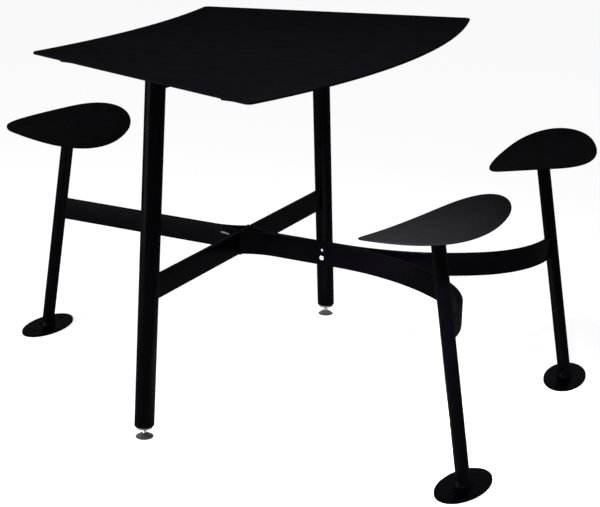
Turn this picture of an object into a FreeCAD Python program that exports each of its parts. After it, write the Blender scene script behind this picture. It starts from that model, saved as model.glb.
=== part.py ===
import FreeCAD, Part
import math
import os
import re

import Sketcher
from FreeCAD import Vector

# Table for three: a wedge-shaped steel top on two leaning legs, tied by flat bars to
# three leaning posts, each carrying a curved sheet seat that swivels on its post.
#
# Frame: millimetres, +Z up, the floor at Z 0, the origin under the middle of the whole
# footprint. +X runs from the single seat to the pair of seats, +Y from the front leg to
# the rear leg. Everything except the seats' resting turns is symmetric about Y 0.

SIZES = {
    # Where things stand, from the plane through both legs. The pair's posts are turned a
    # little, so that they lean toward each other as well as toward the table. The legs'
    # feet stand inside the tabletop's slanted sides.
    "left_post_x": 554.0,
    "right_post_x": 664.5,
    "right_post_y": 312.5,
    "pair_turn": 7.0,
    "leg_foot_inset": 18.5,
    # Tabletop plate: straight slanted sides, hollow left edge, bowed right edge.
    "top_height": 762.0,
    "top_thick": 5.0,
    "top_half_length": 307.0,
    "top_left_half_width": 347.0,
    "top_right_half_width": 535.0,
    "top_left_hollow": 33.0,
    "top_right_bow": 83.0,
    "top_corner_radius": 12.0,
    "top_edge_round": 1.2,
    # Rails under the top: pressed U channels, open side up against the plate.
    "rail_width": 40.0,
    "rail_depth": 34.0,
    "rail_wall": 3.0,
    "rail_clearance": 0.5,
    "stiffener_offset": 230.0,
    "stiffener_width": 30.0,
    "stiffener_depth": 12.0,
    "stiffener_wall": 2.5,
    "stiffener_inset": 36.0,
    # Legs: round tube leaning inward, with a bolted plate at the top.
    "leg_dia": 41.3,
    "leg_wall": 3.2,
    "leg_lean": 5.0,
    "leg_bottom": 26.0,
    "leg_plate_length": 110.0,
    "leg_plate_width": 70.0,
    "leg_plate_thick": 5.0,
    "stud_dia": 8.0,
    "stud_hole_play": 0.5,
    "stud_offset_x": 42.0,
    "stud_offset_y": 22.0,
    "stud_length": 14.0,
    "stud_nut_size": 13.0,
    "stud_nut_thick": 6.5,
    # Leveling glides in the leg ends.
    "plug_lip": 5.0,
    "plug_depth": 12.0,
    "glide_stem_dia": 8.0,
    "glide_stem_length": 46.0,
    "glide_stem_seat": 4.0,
    "glide_play": 0.05,
    "glide_pad_dia": 37.0,
    "glide_pad_neck": 11.0,
    "glide_pad_rim": 1.2,
    "glide_pad_height": 9.5,
    # Flat bars between the legs and out to the posts.
    "arm_level": 312.5,
    "arm_height": 50.8,
    "arm_thick": 8.0,
    "leg_bar_thick": 10.0,
    "flare_reach": 80.0,
    "flare_radius": 140.0,
    "bend_reach": 382.0,
    "bend_angle": 38.5,
    "bend_run": 23.0,
    "arm_bolt_reach": 198.0,
    "arm_bolt_drop": 8.0,
    "arm_bolt_dia": 6.0,
    "arm_bolt_play": 0.3,
    "arm_bolt_tail": 1.5,
    "arm_head_dia": 10.5,
    "arm_head_thick": 3.3,
    "arm_socket_size": 4.0,
    "arm_socket_depth": 2.0,
    "arm_nut_size": 10.0,
    "arm_nut_thick": 5.0,
    "arm_pin_rise": 9.0,
    "arm_pin_dia": 5.0,
    "arm_pin_proud": 0.6,
    "tag_thick": 0.8,
    "tag_height": 4.0,
    "tag_rise": 10.5,
    "tag_start_angle": 9.5,
    "tag_turn": 11.0,
    # Seat posts: leaning tube on an oval floor plate with two anchor holes.
    "post_dia": 28.6,
    "post_wall": 3.2,
    "post_lean": 9.45,
    "plate_length": 168.0,
    "plate_width": 92.0,
    "plate_thick": 6.0,
    "anchor_spacing": 105.0,
    "anchor_hole_dia": 10.0,
    "collar_dia": 40.0,
    "collar_height": 18.0,
    "collar_lip": 0.5,
    # Swivel: a spindle under each seat turns in two bushes inside the post.
    "seat_height": 506.0,
    "spindle_dia": 16.0,
    "spindle_play": 0.05,
    "spindle_tail": 3.0,
    "bush_flange": 2.0,
    "bush_length": 20.0,
    "bush_spacing": 70.0,
    "thrust_thick": 1.5,
    "swivel_play": 0.1,
    "ring_thick": 1.2,
    "ring_dia": 20.5,
    "ring_groove_depth": 1.0,
    "hub_dia": 54.0,
    "hub_thick": 5.0,
    "bracket_dia": 58.0,
    "bracket_thick": 6.0,
    "seat_screw_dia": 6.0,
    "seat_screw_play": 0.3,
    "seat_screw_grip": 5.0,
    "seat_screw_radius": 20.5,
    "screw_head_dia": 10.0,
    "screw_head_thick": 4.0,
    # Seat sheet: a leaf outline rolled to one radius along its length.
    "seat_thick": 3.0,
    "seat_roll_radius": 466.0,
    "seat_low_line": 29.0,
    "seat_round_radius": 105.0,
    "seat_round_back": 50.0,
    "seat_side_radius": 206.0,
    "seat_tip_reach": 179.0,
    "seat_tip_radius": 16.0,
    "left_seat_turn": -102.5,
    "front_seat_turn": 71.0,
    "rear_seat_turn": 89.0,
}

doc = FreeCAD.newDocument("TableWithSwivelSeats")
sheet = doc.addObject("Spreadsheet::Sheet", "Dims")
for row, (alias, value) in enumerate(SIZES.items(), start=1):
    sheet.set(f"A{row}", alias)
    sheet.set(f"B{row}", str(value))
    sheet.setAlias(f"B{row}", alias)
doc.recompute()

# Levels and places worked out from the sheet, as expression text.
SIDE_MIDDLE = "((top_left_half_width + top_right_half_width) / 2)"
LEG_FOOT = f"({SIDE_MIDDLE} - leg_foot_inset)"
UNDER_TOP = "(top_height - top_thick)"
LEG_TOP = f"({UNDER_TOP} - leg_plate_thick)"
LEG_TOP_Y = f"({LEG_FOOT} - tan(leg_lean) * {UNDER_TOP})"
LEG_END_Y = f"({LEG_FOOT} - tan(leg_lean) * leg_bottom)"
LEG_INNER_DIA = "(leg_dia - 2 * leg_wall)"
PLUG_FACE = "(leg_bottom - plug_lip)"
ARM_BASE = "(arm_level - arm_height / 2)"
POST_RISE = "(seat_height - plate_thick)"
POST_INNER_DIA = "(post_dia - 2 * post_wall)"
POST_STEP = "tan(post_lean) * (arm_level - plate_thick)"
LEFT_ARM_END = f"(left_post_x - {POST_STEP})"
RIGHT_ARM_END = f"(right_post_x - cos(pair_turn) * {POST_STEP})"
RIGHT_ARM_SIDE = f"(right_post_y - sin(pair_turn) * {POST_STEP})"
BEND_START = f"({RIGHT_ARM_END} - bend_reach)"
# Levels in the swivel, down the post's axis from the sitting surface.
HUB_TOP = "(-seat_thick - bracket_thick)"
HUB_BASE = f"({HUB_TOP} - hub_thick)"
THRUST_TOP = f"({HUB_BASE} - swivel_play)"
BUSH_TOP = f"({THRUST_TOP} - thrust_thick)"
POST_TOP = f"({BUSH_TOP} - bush_flange)"
LOWER_BUSH_END = f"({POST_TOP} - bush_spacing - bush_length)"
RING_TOP = f"({LOWER_BUSH_END} - swivel_play)"
SPINDLE_END = f"({RING_TOP} - ring_thick - spindle_tail)"

subparts = []


# --- Small helpers ---------------------------------------------------------------------


def formula(text):
    """Write a formula in the sheet's names as a FreeCAD expression."""
    return re.sub(r"[a-z]+(?:_[a-z]+)+", lambda word: "Dims." + word.group(0), text)


def bind(obj, **properties):
    for name, text in properties.items():
        obj.setExpression(name, formula(text))
    return obj


def frame(x="0", y="0", z="0", turn="rotationz(0)"):
    """A placement, as expression text."""
    return f"placement(vector({x}; {y}; {z}); {turn})"


def put(obj, *frames):
    obj.setExpression("Placement", formula(" * ".join(frames)))
    return obj


def disc(name, dia, height, *frames, **more):
    cylinder = doc.addObject("Part::Cylinder", name)
    bind(cylinder, Radius=f"{dia} / 2", Height=height, **more)
    return put(cylinder, *(frames or (frame(),)))


def block(name, length, width, height, x="0", y="0", z="0"):
    """A box centred on x and y and standing on z."""
    box = bind(doc.addObject("Part::Box", name), Length=length, Width=width, Height=height)
    return put(box, frame(f"{x} - ({length}) / 2", f"{y} - ({width}) / 2", z))


def hexagon(name, across_flats, height, *frames):
    prism = doc.addObject("Part::Prism", name)
    prism.Polygon = 6
    bind(prism, Circumradius=f"{across_flats} / 2 / cos(30)", Height=height)
    return put(prism, *(frames or (frame(),)))


def boolean(kind, name, base, tool):
    obj = doc.addObject(f"Part::{kind}", name)
    obj.Base = base
    obj.Tool = tool
    return obj


def fuse(name, *shapes):
    obj = doc.addObject("Part::MultiFuse", name)
    obj.Shapes = shapes
    obj.Refine = True
    return obj


def cut(name, base, *tools):
    tool = tools[0] if len(tools) == 1 else fuse(f"{name}_tools", *tools)
    return boolean("Cut", name, base, tool)


def group(name, *shapes):
    obj = doc.addObject("Part::Compound", name)
    obj.Links = shapes
    return obj


def ring(name, outer_dia, inner_dia, height, *frames):
    inner = disc(f"{name}_bore", inner_dia, height)
    hollow = cut(name, disc(f"{name}_blank", outer_dia, height), inner)
    return put(hollow, *(frames or (frame(),)))


def arc_band(name, radius, thick, height, x, y, z, start, sweep):
    """A flat bar standing on edge, bent to a radius about x, y from start through sweep."""
    place = frame(x, y, z, f"rotationz({start})")
    outer = disc(f"{name}_outer", f"(2 * ({radius}) + {thick})", height, place, Angle=sweep)
    inner = disc(f"{name}_inner", f"(2 * ({radius}) - {thick})", height, place)
    return cut(name, outer, inner)


def keep(obj, label, *frames):
    """Name a finished sub-part and put it in its place."""
    obj.Label = label
    if frames:
        put(obj, *frames)
    subparts.append(obj)
    return obj


def body_with_sketch(name):
    """A body with an empty sketch on its XY plane."""
    body = doc.addObject("PartDesign::Body", name)
    plane = next(item for item in body.Origin.OriginFeatures if item.Role == "XY_Plane")
    sketch = body.newObject("Sketcher::SketchObject", f"{name}_sketch")
    sketch.AttachmentSupport = [(plane, "")]
    sketch.MapMode = "FlatFace"
    return body, sketch


def drawn_size(sketch, kind, *where):
    """The size that a dimension has as the sketch was drawn."""
    if kind == "Radius":
        return sketch.Geometry[where[0]].Radius
    step = sketch.getPoint(*where[2:]) - sketch.getPoint(*where[:2])
    return step.x if kind == "DistanceX" else step.y


def tie(sketch, kind, *where, to):
    """Add a dimension to a sketch, tied to the sheet."""
    drawn = drawn_size(sketch, kind, *where)
    index = sketch.addConstraint(Sketcher.Constraint(kind, *where, drawn))
    sketch.setExpression(f"Constraints[{index}]", formula(to))


def pad(body, sketch, length):
    feature = body.newObject("PartDesign::Pad", f"{body.Name}_pad")
    feature.Profile = sketch
    bind(feature, Length=length)
    doc.recompute()
    return feature


def round_edges(body, base, radius, chosen):
    """Fillet the edges of base that chosen picks."""
    names = [f"Edge{i}" for i, edge in enumerate(base.Shape.Edges, start=1) if chosen(edge)]
    fillet = body.newObject("PartDesign::Fillet", f"{base.Name}_fillet")
    fillet.Base = (base, names)
    bind(fillet, Radius=radius)
    doc.recompute()
    return fillet


# How a sketch numbers an element's points, counting from one. Its own X axis is the
# element before the first, and that axis starts at the origin.
START, END, CENTRE = range(1, 4)
X_AXIS = -START
ORIGIN = (X_AXIS, START)

# The legs' plane stands this far from the origin, which is midway between the outer posts.
TABLE = frame("-(right_post_x - left_post_x) / 2")
# The rear leg's parts are the front leg's, turned half round.
LEGS = {"front": "rotationz(0)", "rear": "rotationz(180)"}
# Each seat's post stands in a frame at its foot, with +X toward the table.
LEFT_FOOT = frame("-left_post_x", "0", "plate_thick")
FRONT_FOOT = frame("right_post_x", "-right_post_y", "plate_thick", "rotationz(180 - pair_turn)")
REAR_FOOT = frame("right_post_x", "right_post_y", "plate_thick", "rotationz(180 + pair_turn)")
SEATS = {"left": LEFT_FOOT, "front": FRONT_FOOT, "rear": REAR_FOOT}


# --- Tabletop and rails ----------------------------------------------------------------


def make_tabletop():
    body, sketch = body_with_sketch("tabletop_body")
    half_length = SIZES["top_half_length"]
    left_y = SIZES["top_left_half_width"]
    right_y = SIZES["top_right_half_width"]
    left_front, left_rear = Vector(-half_length, -left_y), Vector(-half_length, left_y)
    right_front, right_rear = Vector(half_length, -right_y), Vector(half_length, right_y)
    hollow = Vector(SIZES["top_left_hollow"] - half_length, 0)
    bow = Vector(half_length + SIZES["top_right_bow"], 0)
    front = sketch.addGeometry(Part.LineSegment(left_front, right_front))
    right = sketch.addGeometry(Part.Arc(right_front, bow, right_rear))
    rear = sketch.addGeometry(Part.LineSegment(right_rear, left_rear))
    left = sketch.addGeometry(Part.Arc(left_front, hollow, left_rear))
    for first, second in (
        ((front, START), (left, START)),
        ((front, END), (right, START)),
        ((rear, START), (right, END)),
        ((rear, END), (left, END)),
    ):
        sketch.addConstraint(Sketcher.Constraint("Coincident", *first, *second))
    for edge in (left, right):
        mirrored = Sketcher.Constraint("Symmetric", edge, START, edge, END, X_AXIS)
        sketch.addConstraint(mirrored)
    tie(sketch, "DistanceX", left, END, *ORIGIN, to="top_half_length")
    tie(sketch, "DistanceX", *ORIGIN, right, END, to="top_half_length")
    tie(sketch, "DistanceY", *ORIGIN, left, END, to="top_left_half_width")
    tie(sketch, "DistanceY", *ORIGIN, right, END, to="top_right_half_width")
    for edge, chord, rise in (
        (left, "top_left_half_width", "top_left_hollow"),
        (right, "top_right_half_width", "top_right_bow"),
    ):
        tie(sketch, "Radius", edge, to=f"({chord} ^ 2 + {rise} ^ 2) / (2 * {rise})")
    plate = pad(body, sketch, "top_thick")
    thick = SIZES["top_thick"]
    corners = round_edges(
        body, plate, "top_corner_radius", lambda edge: edge.BoundBox.ZLength > thick / 2
    )
    round_edges(
        body, corners, "top_edge_round", lambda edge: edge.BoundBox.ZLength < thick / 2
    )
    keep(body, "tabletop", TABLE, frame(z=UNDER_TOP))


def channel(name, width, depth, wall, length, x="0"):
    """A U channel along Y, open side up, its rims against the plate."""
    base = f"({UNDER_TOP} - {depth})"
    outside = block(f"{name}_outside", width, length, depth, x=x, z=base)
    inside_width = f"({width} - 2 * {wall})"
    inside = block(f"{name}_inside", inside_width, length, depth, x=x, z=f"{base} + {wall}")
    return cut(name, outside, inside)


def make_rails():
    rail = channel(
        "rail_channel", "rail_width", "rail_depth", "rail_wall", f"(2 * {LEG_TOP_Y})"
    )
    clear_dia = "(leg_dia + 2 * rail_clearance)"
    reliefs = [leg_cylinder(f"rail_cope_{leg}", leg, clear_dia) for leg in LEGS]
    for leg, turn in LEGS.items():
        width = "(leg_plate_width + 2 * rail_clearance)"
        notch = block(f"rail_notch_{leg}", "leg_plate_length", width, "2 * leg_plate_thick")
        place = frame("-leg_plate_length / 2", f"-{LEG_TOP_Y} - {width} / 2", "0")
        drop = frame(z=f"{LEG_TOP} - rail_clearance", turn=turn)
        reliefs.append(put(notch, drop, place))
    keep(cut("rail_cut", rail, *reliefs), "centre_rail", TABLE)
    slope = "((top_right_half_width - top_left_half_width) / (2 * top_half_length))"
    for side, x in (("left", "-stiffener_offset"), ("right", "stiffener_offset")):
        length = f"2 * ({SIDE_MIDDLE} + {slope} * {x} - stiffener_inset)"
        sizes = ("stiffener_width", "stiffener_depth", "stiffener_wall")
        keep(channel(f"{side}_channel", *sizes, length, x=x), f"{side}_stiffener", TABLE)


# --- Legs ------------------------------------------------------------------------------


def leg_cylinder(name, leg, dia):
    """A cylinder along a leg's axis, past both of its ends."""
    turned = frame(turn=LEGS[leg])
    foot = frame(y=f"-{LEG_FOOT}", turn="rotationx(-leg_lean)")
    below = frame(z="-leg_dia")
    return disc(name, dia, "(top_height + 2 * leg_dia)", turned, foot, below)


def slab(name, base, top):
    """Everything in the table's footprint between two levels."""
    reach = "4 * top_right_half_width"
    return block(name, reach, reach, f"({top}) - ({base})", z=base)


def stud_places(turn):
    """The four studs of one leg plate."""
    for x in ("-stud_offset_x", "stud_offset_x"):
        for y in ("-stud_offset_y", "stud_offset_y"):
            yield frame(turn=turn), frame(x, f"-{LEG_TOP_Y} + {y}")


def make_studs():
    studs, nuts = [], []
    for leg, turn in LEGS.items():
        for number, place in enumerate(stud_places(turn), start=1):
            name = f"{leg}_stud_{number}"
            down = frame(z=f"{UNDER_TOP} - stud_length")
            studs.append(disc(name, "stud_dia", "stud_length", *place, down))
            nut = hexagon(f"{name}_hex", "stud_nut_size", "stud_nut_thick")
            bore = disc(f"{name}_bore", "stud_dia", "stud_nut_thick")
            seat = frame(z=f"{LEG_TOP} - stud_nut_thick")
            nuts.append(put(cut(f"{name}_nut", nut, bore), *place, seat))
    keep(group("studs", *studs), "table_studs", TABLE)
    keep(group("nuts", *nuts), "stud_nuts", TABLE)


def make_leg(leg, turn):
    outer = leg_cylinder(f"{leg}_leg_outer", leg, "leg_dia")
    inner = leg_cylinder(f"{leg}_leg_inner", leg, LEG_INNER_DIA)
    tube = cut(f"{leg}_leg_tube", outer, inner)
    height = slab(f"{leg}_leg_span", "leg_bottom", LEG_TOP)
    keep(boolean("Common", f"{leg}_leg_trim", tube, height), f"{leg}_leg", TABLE)

    plate = block(
        f"{leg}_plate_blank", "leg_plate_length", "leg_plate_width", "leg_plate_thick"
    )
    holes = [
        disc(f"{leg}_plate_hole_{i}", "(stud_dia + 2 * stud_hole_play)", "leg_plate_thick",
             frame(x, y))
        for i, (x, y) in enumerate(
            (x, y) for x in ("-stud_offset_x", "stud_offset_x")
            for y in ("-stud_offset_y", "stud_offset_y"))
    ]
    place = frame(turn=turn), frame(y=f"-{LEG_TOP_Y}", z=LEG_TOP)
    keep(cut(f"{leg}_plate_cut", plate, *holes), f"{leg}_leg_plate", TABLE, *place)


def make_glide(leg, turn):
    """Plug, stem and pad on one upright screw under a leg's end."""
    turned = frame(turn=turn)
    upright = frame(y=f"-{LEG_END_Y}")
    stem_hole = "(glide_stem_dia + 2 * glide_play)"

    core = leg_cylinder(f"{leg}_plug_core", leg, LEG_INNER_DIA)
    depth = slab(f"{leg}_plug_depth", PLUG_FACE, "leg_bottom + plug_depth")
    insert = boolean("Common", f"{leg}_plug_insert", core, depth)
    bore = disc(f"{leg}_plug_bore", stem_hole, "leg_bottom + plug_depth", turned, upright)
    keep(cut(f"{leg}_plug_cut", insert, bore), f"{leg}_leg_plug", TABLE)

    stem = disc(f"{leg}_stem", "glide_stem_dia", "glide_stem_length")
    in_pad = frame(z="glide_pad_height - glide_stem_seat")
    keep(stem, f"{leg}_glide_stem", TABLE, turned, upright, in_pad)

    flare = doc.addObject("Part::Cone", f"{leg}_pad_cone")
    bind(flare, Radius1="glide_pad_dia / 2", Radius2="glide_pad_neck / 2")
    bind(flare, Height="glide_pad_height - glide_pad_rim")
    put(flare, frame(z="glide_pad_rim"))
    base = disc(f"{leg}_pad_base", "glide_pad_dia", "glide_pad_rim")
    socket = disc(f"{leg}_pad_socket", "glide_stem_dia", "glide_stem_seat", in_pad)
    pad_solid = cut(f"{leg}_pad", fuse(f"{leg}_pad_whole", base, flare), socket)
    keep(pad_solid, f"{leg}_glide_pad", TABLE, turned, upright)


# --- Flat bars -------------------------------------------------------------------------


def post_cylinder(name, seat, dia):
    """A cylinder along a seat post's axis, past its foot and its top."""
    lean = frame(turn="rotationy(post_lean)")
    below = frame(z="-collar_dia")
    return disc(name, dia, "(seat_height + collar_dia)", SEATS[seat], lean, below)


def flare_band(name, x, y, start):
    """The curved end of an arm where it spreads against the bar between the legs."""
    sweep = "asin(flare_reach / flare_radius)"
    start_angle = start.format(sweep=sweep)
    sizes = ("flare_radius", "arm_thick", "arm_height")
    return arc_band(name, *sizes, x, y, ARM_BASE, start_angle, sweep)


def make_leg_bar():
    bar_length = f"2 * ({LEG_FOOT} - tan(leg_lean) * arm_level)"
    bar = block("leg_bar_blank", "leg_bar_thick", bar_length, "arm_height", z=ARM_BASE)
    copes = [leg_cylinder(f"leg_bar_cope_{leg}", leg, "leg_dia") for leg in LEGS]
    keep(cut("leg_bar", bar, *copes), "lower_leg_bar", TABLE)


def leg_bar_zone(name):
    return block(name, "leg_bar_thick", f"2 * {LEG_FOOT}", "2 * arm_height",
                 z="arm_level - arm_height")


def make_left_arm():
    def straight(name):
        length = f"({LEFT_ARM_END} - flare_reach)"
        x = f"-(flare_reach + {length} / 2)"
        return block(name, length, "arm_thick", "arm_height", x=x, z=ARM_BASE)

    rear_flare = flare_band("left_rear_flare", "-flare_reach", "flare_radius", "-90")
    arm = fuse("left_arm_whole", straight("left_arm_straight"), rear_flare)
    cope = post_cylinder("left_arm_cope", "left", "post_dia")
    keep(cut("left_arm_cut", arm, cope, leg_bar_zone("left_arm_zone")), "left_arm", TABLE)

    flare = flare_band("left_front_flare", "-flare_reach", "-flare_radius", "90 deg - {sweep}")
    rear_copy = flare_band("left_flare_relief", "-flare_reach", "flare_radius", "-90")
    tools = rear_copy, leg_bar_zone("left_flare_zone")
    keep(cut("left_flare_cut", flare, *tools), "left_arm_flare", TABLE)

    tag_radius = "(flare_radius - arm_thick / 2 - tag_thick / 2)"
    tag = arc_band(
        "tag_band", tag_radius, "tag_thick", "tag_height", "-flare_reach", "-flare_radius",
        "arm_level + tag_rise - tag_height / 2", "90 - tag_start_angle - tag_turn", "tag_turn",
    )
    keep(tag, "blank_tag", TABLE)


def make_right_arms():
    middle = "(-arm_thick / 2)"
    # Two arcs carry the bar bend_reach along and sideways, round to its last run.
    turn = "bend_angle"
    sideways = f"({RIGHT_ARM_SIDE} - arm_thick / 2 - bend_run)"
    share = f"(sin({turn}) + cos({turn}) - 1)"
    wide_radius = f"((bend_reach * cos({turn}) - {sideways} * (1 - sin({turn}))) / {share})"
    tight_radius = f"(({sideways} * sin({turn}) - bend_reach * (1 - cos({turn}))) / {share})"
    tight_x = f"({RIGHT_ARM_END} - {tight_radius})"

    flare_y = f"{middle} - flare_radius"
    flare = flare_band("front_arm_flare", "flare_reach", flare_y, "90")
    length = f"({BEND_START} - flare_reach)"
    straight = block(
        "front_arm_straight", length, "arm_thick", "arm_height",
        x=f"flare_reach + {length} / 2", y=middle, z=ARM_BASE,
    )
    bar = ("arm_thick", "arm_height")
    first = arc_band(
        "front_arm_bend", wide_radius, *bar, BEND_START,
        f"{middle} - {wide_radius}", ARM_BASE, f"90 - {turn}", turn,
    )
    second = arc_band(
        "front_arm_turn", tight_radius, *bar, tight_x, f"bend_run - {RIGHT_ARM_SIDE}",
        ARM_BASE, "0", f"90 - {turn}",
    )
    last = block(
        "front_arm_run", "arm_thick", "bend_run", "arm_height",
        x=RIGHT_ARM_END, y=f"bend_run / 2 - {RIGHT_ARM_SIDE}", z=ARM_BASE,
    )
    arm = fuse("front_arm_whole", flare, straight, first, second, last)
    holes = [
        disc("front_arm_bolt_hole", "(arm_bolt_dia + 2 * arm_bolt_play)", "2 * arm_height",
             bolt_axis(), frame(z="-arm_height")),
        disc("front_arm_pin_hole", "arm_pin_dia", "2 * arm_height",
             pin_axis(), frame(z="-arm_height")),
    ]
    cope = post_cylinder("front_arm_cope", "front", "post_dia")
    front = cut("front_arm_cut", arm, cope, leg_bar_zone("front_arm_zone"), *holes)
    keep(front, "front_arm", TABLE)
    rear = doc.addObject("Part::Mirroring", "rear_arm_mirror")
    rear.Source = front
    rear.Normal = Vector(0, 1, 0)
    keep(rear, "rear_arm")


def bolt_axis():
    """The arm bolt's line, Z pointing to the rear, from the plane between the arms."""
    return frame("arm_bolt_reach", "0", "arm_level - arm_bolt_drop", "rotationx(-90)")


def pin_axis():
    return frame("arm_bolt_reach", "0", "arm_level + arm_pin_rise", "rotationx(-90)")


def make_arm_fasteners():
    reach = "(2 * arm_thick + arm_nut_thick + arm_bolt_tail)"
    shank = disc("arm_bolt_shank", "arm_bolt_dia", reach, frame(z="-arm_thick"))
    under_head = frame(z="-arm_thick - arm_head_thick")
    head = disc("arm_bolt_head", "arm_head_dia", "arm_head_thick", under_head)
    socket = hexagon("arm_bolt_socket", "arm_socket_size", "arm_socket_depth", under_head)
    bolt = cut("arm_bolt_cut", fuse("arm_bolt_whole", shank, head), socket)
    keep(bolt, "arm_bolt", TABLE, bolt_axis())

    hex_blank = hexagon("arm_nut_hex", "arm_nut_size", "arm_nut_thick")
    nut = cut("arm_nut_cut", hex_blank, disc("arm_nut_bore", "arm_bolt_dia", "arm_nut_thick"))
    keep(nut, "arm_nut", TABLE, bolt_axis(), frame(z="arm_thick"))

    pin = disc("arm_pin_shank", "arm_pin_dia", "2 * (arm_thick + arm_pin_proud)")
    keep(pin, "arm_pin", TABLE, pin_axis(), frame(z="-arm_thick - arm_pin_proud"))


# --- Posts -----------------------------------------------------------------------------


def above_plate(name):
    reach = "2 * seat_height"
    return block(name, reach, reach, reach)


def make_post(seat):
    """The tube, its collar and its floor plate, built in the frame at the post's foot."""
    foot = SEATS[seat]
    axis = frame(turn="rotationy(post_lean)")
    length = f"{POST_RISE} / cos(post_lean)"
    outer = disc(f"{seat}_post_outer", "post_dia", f"({length} + {POST_TOP} + collar_dia)",
                 axis, frame(z="-collar_dia"))
    inner = disc(f"{seat}_post_inner", POST_INNER_DIA, f"({length} + collar_dia)",
                 axis, frame(z="-collar_dia"))
    tube = cut(f"{seat}_post_tube", outer, inner)
    trimmed = boolean("Common", f"{seat}_post_trim", tube, above_plate(f"{seat}_post_zone"))
    keep(trimmed, f"{seat}_post", TABLE, foot)

    spread = "(collar_dia / 2 - post_dia / 2 - collar_lip)"
    sweep_radius = f"(({spread} ^ 2 + collar_height ^ 2) / (2 * {spread}))"
    blank = disc(f"{seat}_collar_blank", "collar_dia", "2 * collar_height", axis,
                 frame(z="-collar_height"))
    hollow = doc.addObject("Part::Torus", f"{seat}_collar_hollow")
    bind(hollow, Radius1=f"post_dia / 2 + collar_lip + {sweep_radius}", Radius2=sweep_radius)
    put(hollow, axis, frame(z="collar_height"))
    below = disc(f"{seat}_collar_skirt", "2 * collar_dia", "collar_dia", axis,
                 frame(z="-collar_dia"))
    waist = cut(f"{seat}_collar_waist", hollow, below)
    core = disc(f"{seat}_collar_core", "post_dia", "4 * collar_height", axis,
                frame(z="-2 * collar_height"))
    horn = cut(f"{seat}_collar_horn", blank, waist, core)
    collar = boolean("Common", f"{seat}_collar", horn, above_plate(f"{seat}_collar_zone"))
    keep(collar, f"{seat}_post_collar", TABLE, foot)

    outline = doc.addObject("Part::Ellipse", f"{seat}_plate_outline")
    bind(outline, MajorRadius="plate_length / 2", MinorRadius="plate_width / 2")
    put(outline, frame(z="-plate_thick", turn="rotationz(90)"))
    oval = doc.addObject("Part::Extrusion", f"{seat}_plate_oval")
    oval.Base = outline
    oval.DirMode = "Custom"
    oval.Dir = Vector(0, 0, 1)
    oval.Solid = True
    bind(oval, LengthFwd="plate_thick")
    holes = [
        disc(f"{seat}_anchor_{end}", "anchor_hole_dia", "plate_thick",
             frame(y=y, z="-plate_thick"))
        for end, y in (("near", "-anchor_spacing / 2"), ("far", "anchor_spacing / 2"))
    ]
    keep(cut(f"{seat}_plate", oval, *holes), f"{seat}_base_plate", TABLE, foot)


# --- Seats -----------------------------------------------------------------------------


def seat_outline(name):
    """The leaf outline, four arcs that run into each other, as a tall prism."""
    body, sketch = body_with_sketch(name)
    round_radius, side_radius = SIZES["seat_round_radius"], SIZES["seat_side_radius"]
    tip_radius, round_x = SIZES["seat_tip_radius"], -SIZES["seat_round_back"]
    tip_x = SIZES["seat_tip_reach"] - tip_radius
    near, far = side_radius - round_radius, side_radius - tip_radius
    side_x = (tip_x + round_x + (near ** 2 - far ** 2) / (tip_x - round_x)) / 2
    side_y = math.sqrt(near ** 2 - (side_x - round_x) ** 2)
    tip_turn = math.atan2(side_y, tip_x - side_x)
    round_turn = math.atan2(side_y, round_x - side_x)

    def arc(x, y, radius, start, end):
        circle = Part.Circle(Vector(x, y), Vector(0, 0, 1), radius)
        return sketch.addGeometry(Part.ArcOfCircle(circle, start, end))

    turn = 2 * math.pi
    tip = arc(tip_x, 0, tip_radius, -tip_turn, tip_turn)
    upper = arc(side_x, -side_y, side_radius, tip_turn, round_turn)
    back = arc(round_x, 0, round_radius, round_turn, turn - round_turn)
    lower = arc(side_x, side_y, side_radius, turn - round_turn, turn - tip_turn)
    for first, second in ((tip, upper), (upper, back), (back, lower), (lower, tip)):
        sketch.addConstraint(Sketcher.Constraint("Tangent", first, END, second, START))
    for middle in (tip, back):
        on_axis = Sketcher.Constraint("PointOnObject", middle, CENTRE, X_AXIS)
        sketch.addConstraint(on_axis)
    tie(sketch, "DistanceX", *ORIGIN, tip, CENTRE, to="seat_tip_reach - seat_tip_radius")
    tie(sketch, "DistanceX", back, CENTRE, *ORIGIN, to="seat_round_back")
    tie(sketch, "Radius", tip, to="seat_tip_radius")
    tie(sketch, "Radius", back, to="seat_round_radius")
    tie(sketch, "Radius", upper, to="seat_side_radius")
    tie(sketch, "Radius", lower, to="seat_side_radius")
    pad(body, sketch, "seat_roll_radius / 2")
    return put(body, frame(z="-2 * seat_thick"))


def roll(name, radius):
    """The cylinder that the seat sheet is rolled around."""
    place = frame("seat_low_line", "-seat_side_radius", "seat_roll_radius", "rotationx(-90)")
    return disc(name, f"(2 * ({radius}))", "2 * seat_side_radius", place)


def screw_places():
    for angle in (45, 135, 225, 315):
        yield frame(turn=f"rotationz({angle})"), frame("seat_screw_radius")


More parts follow.
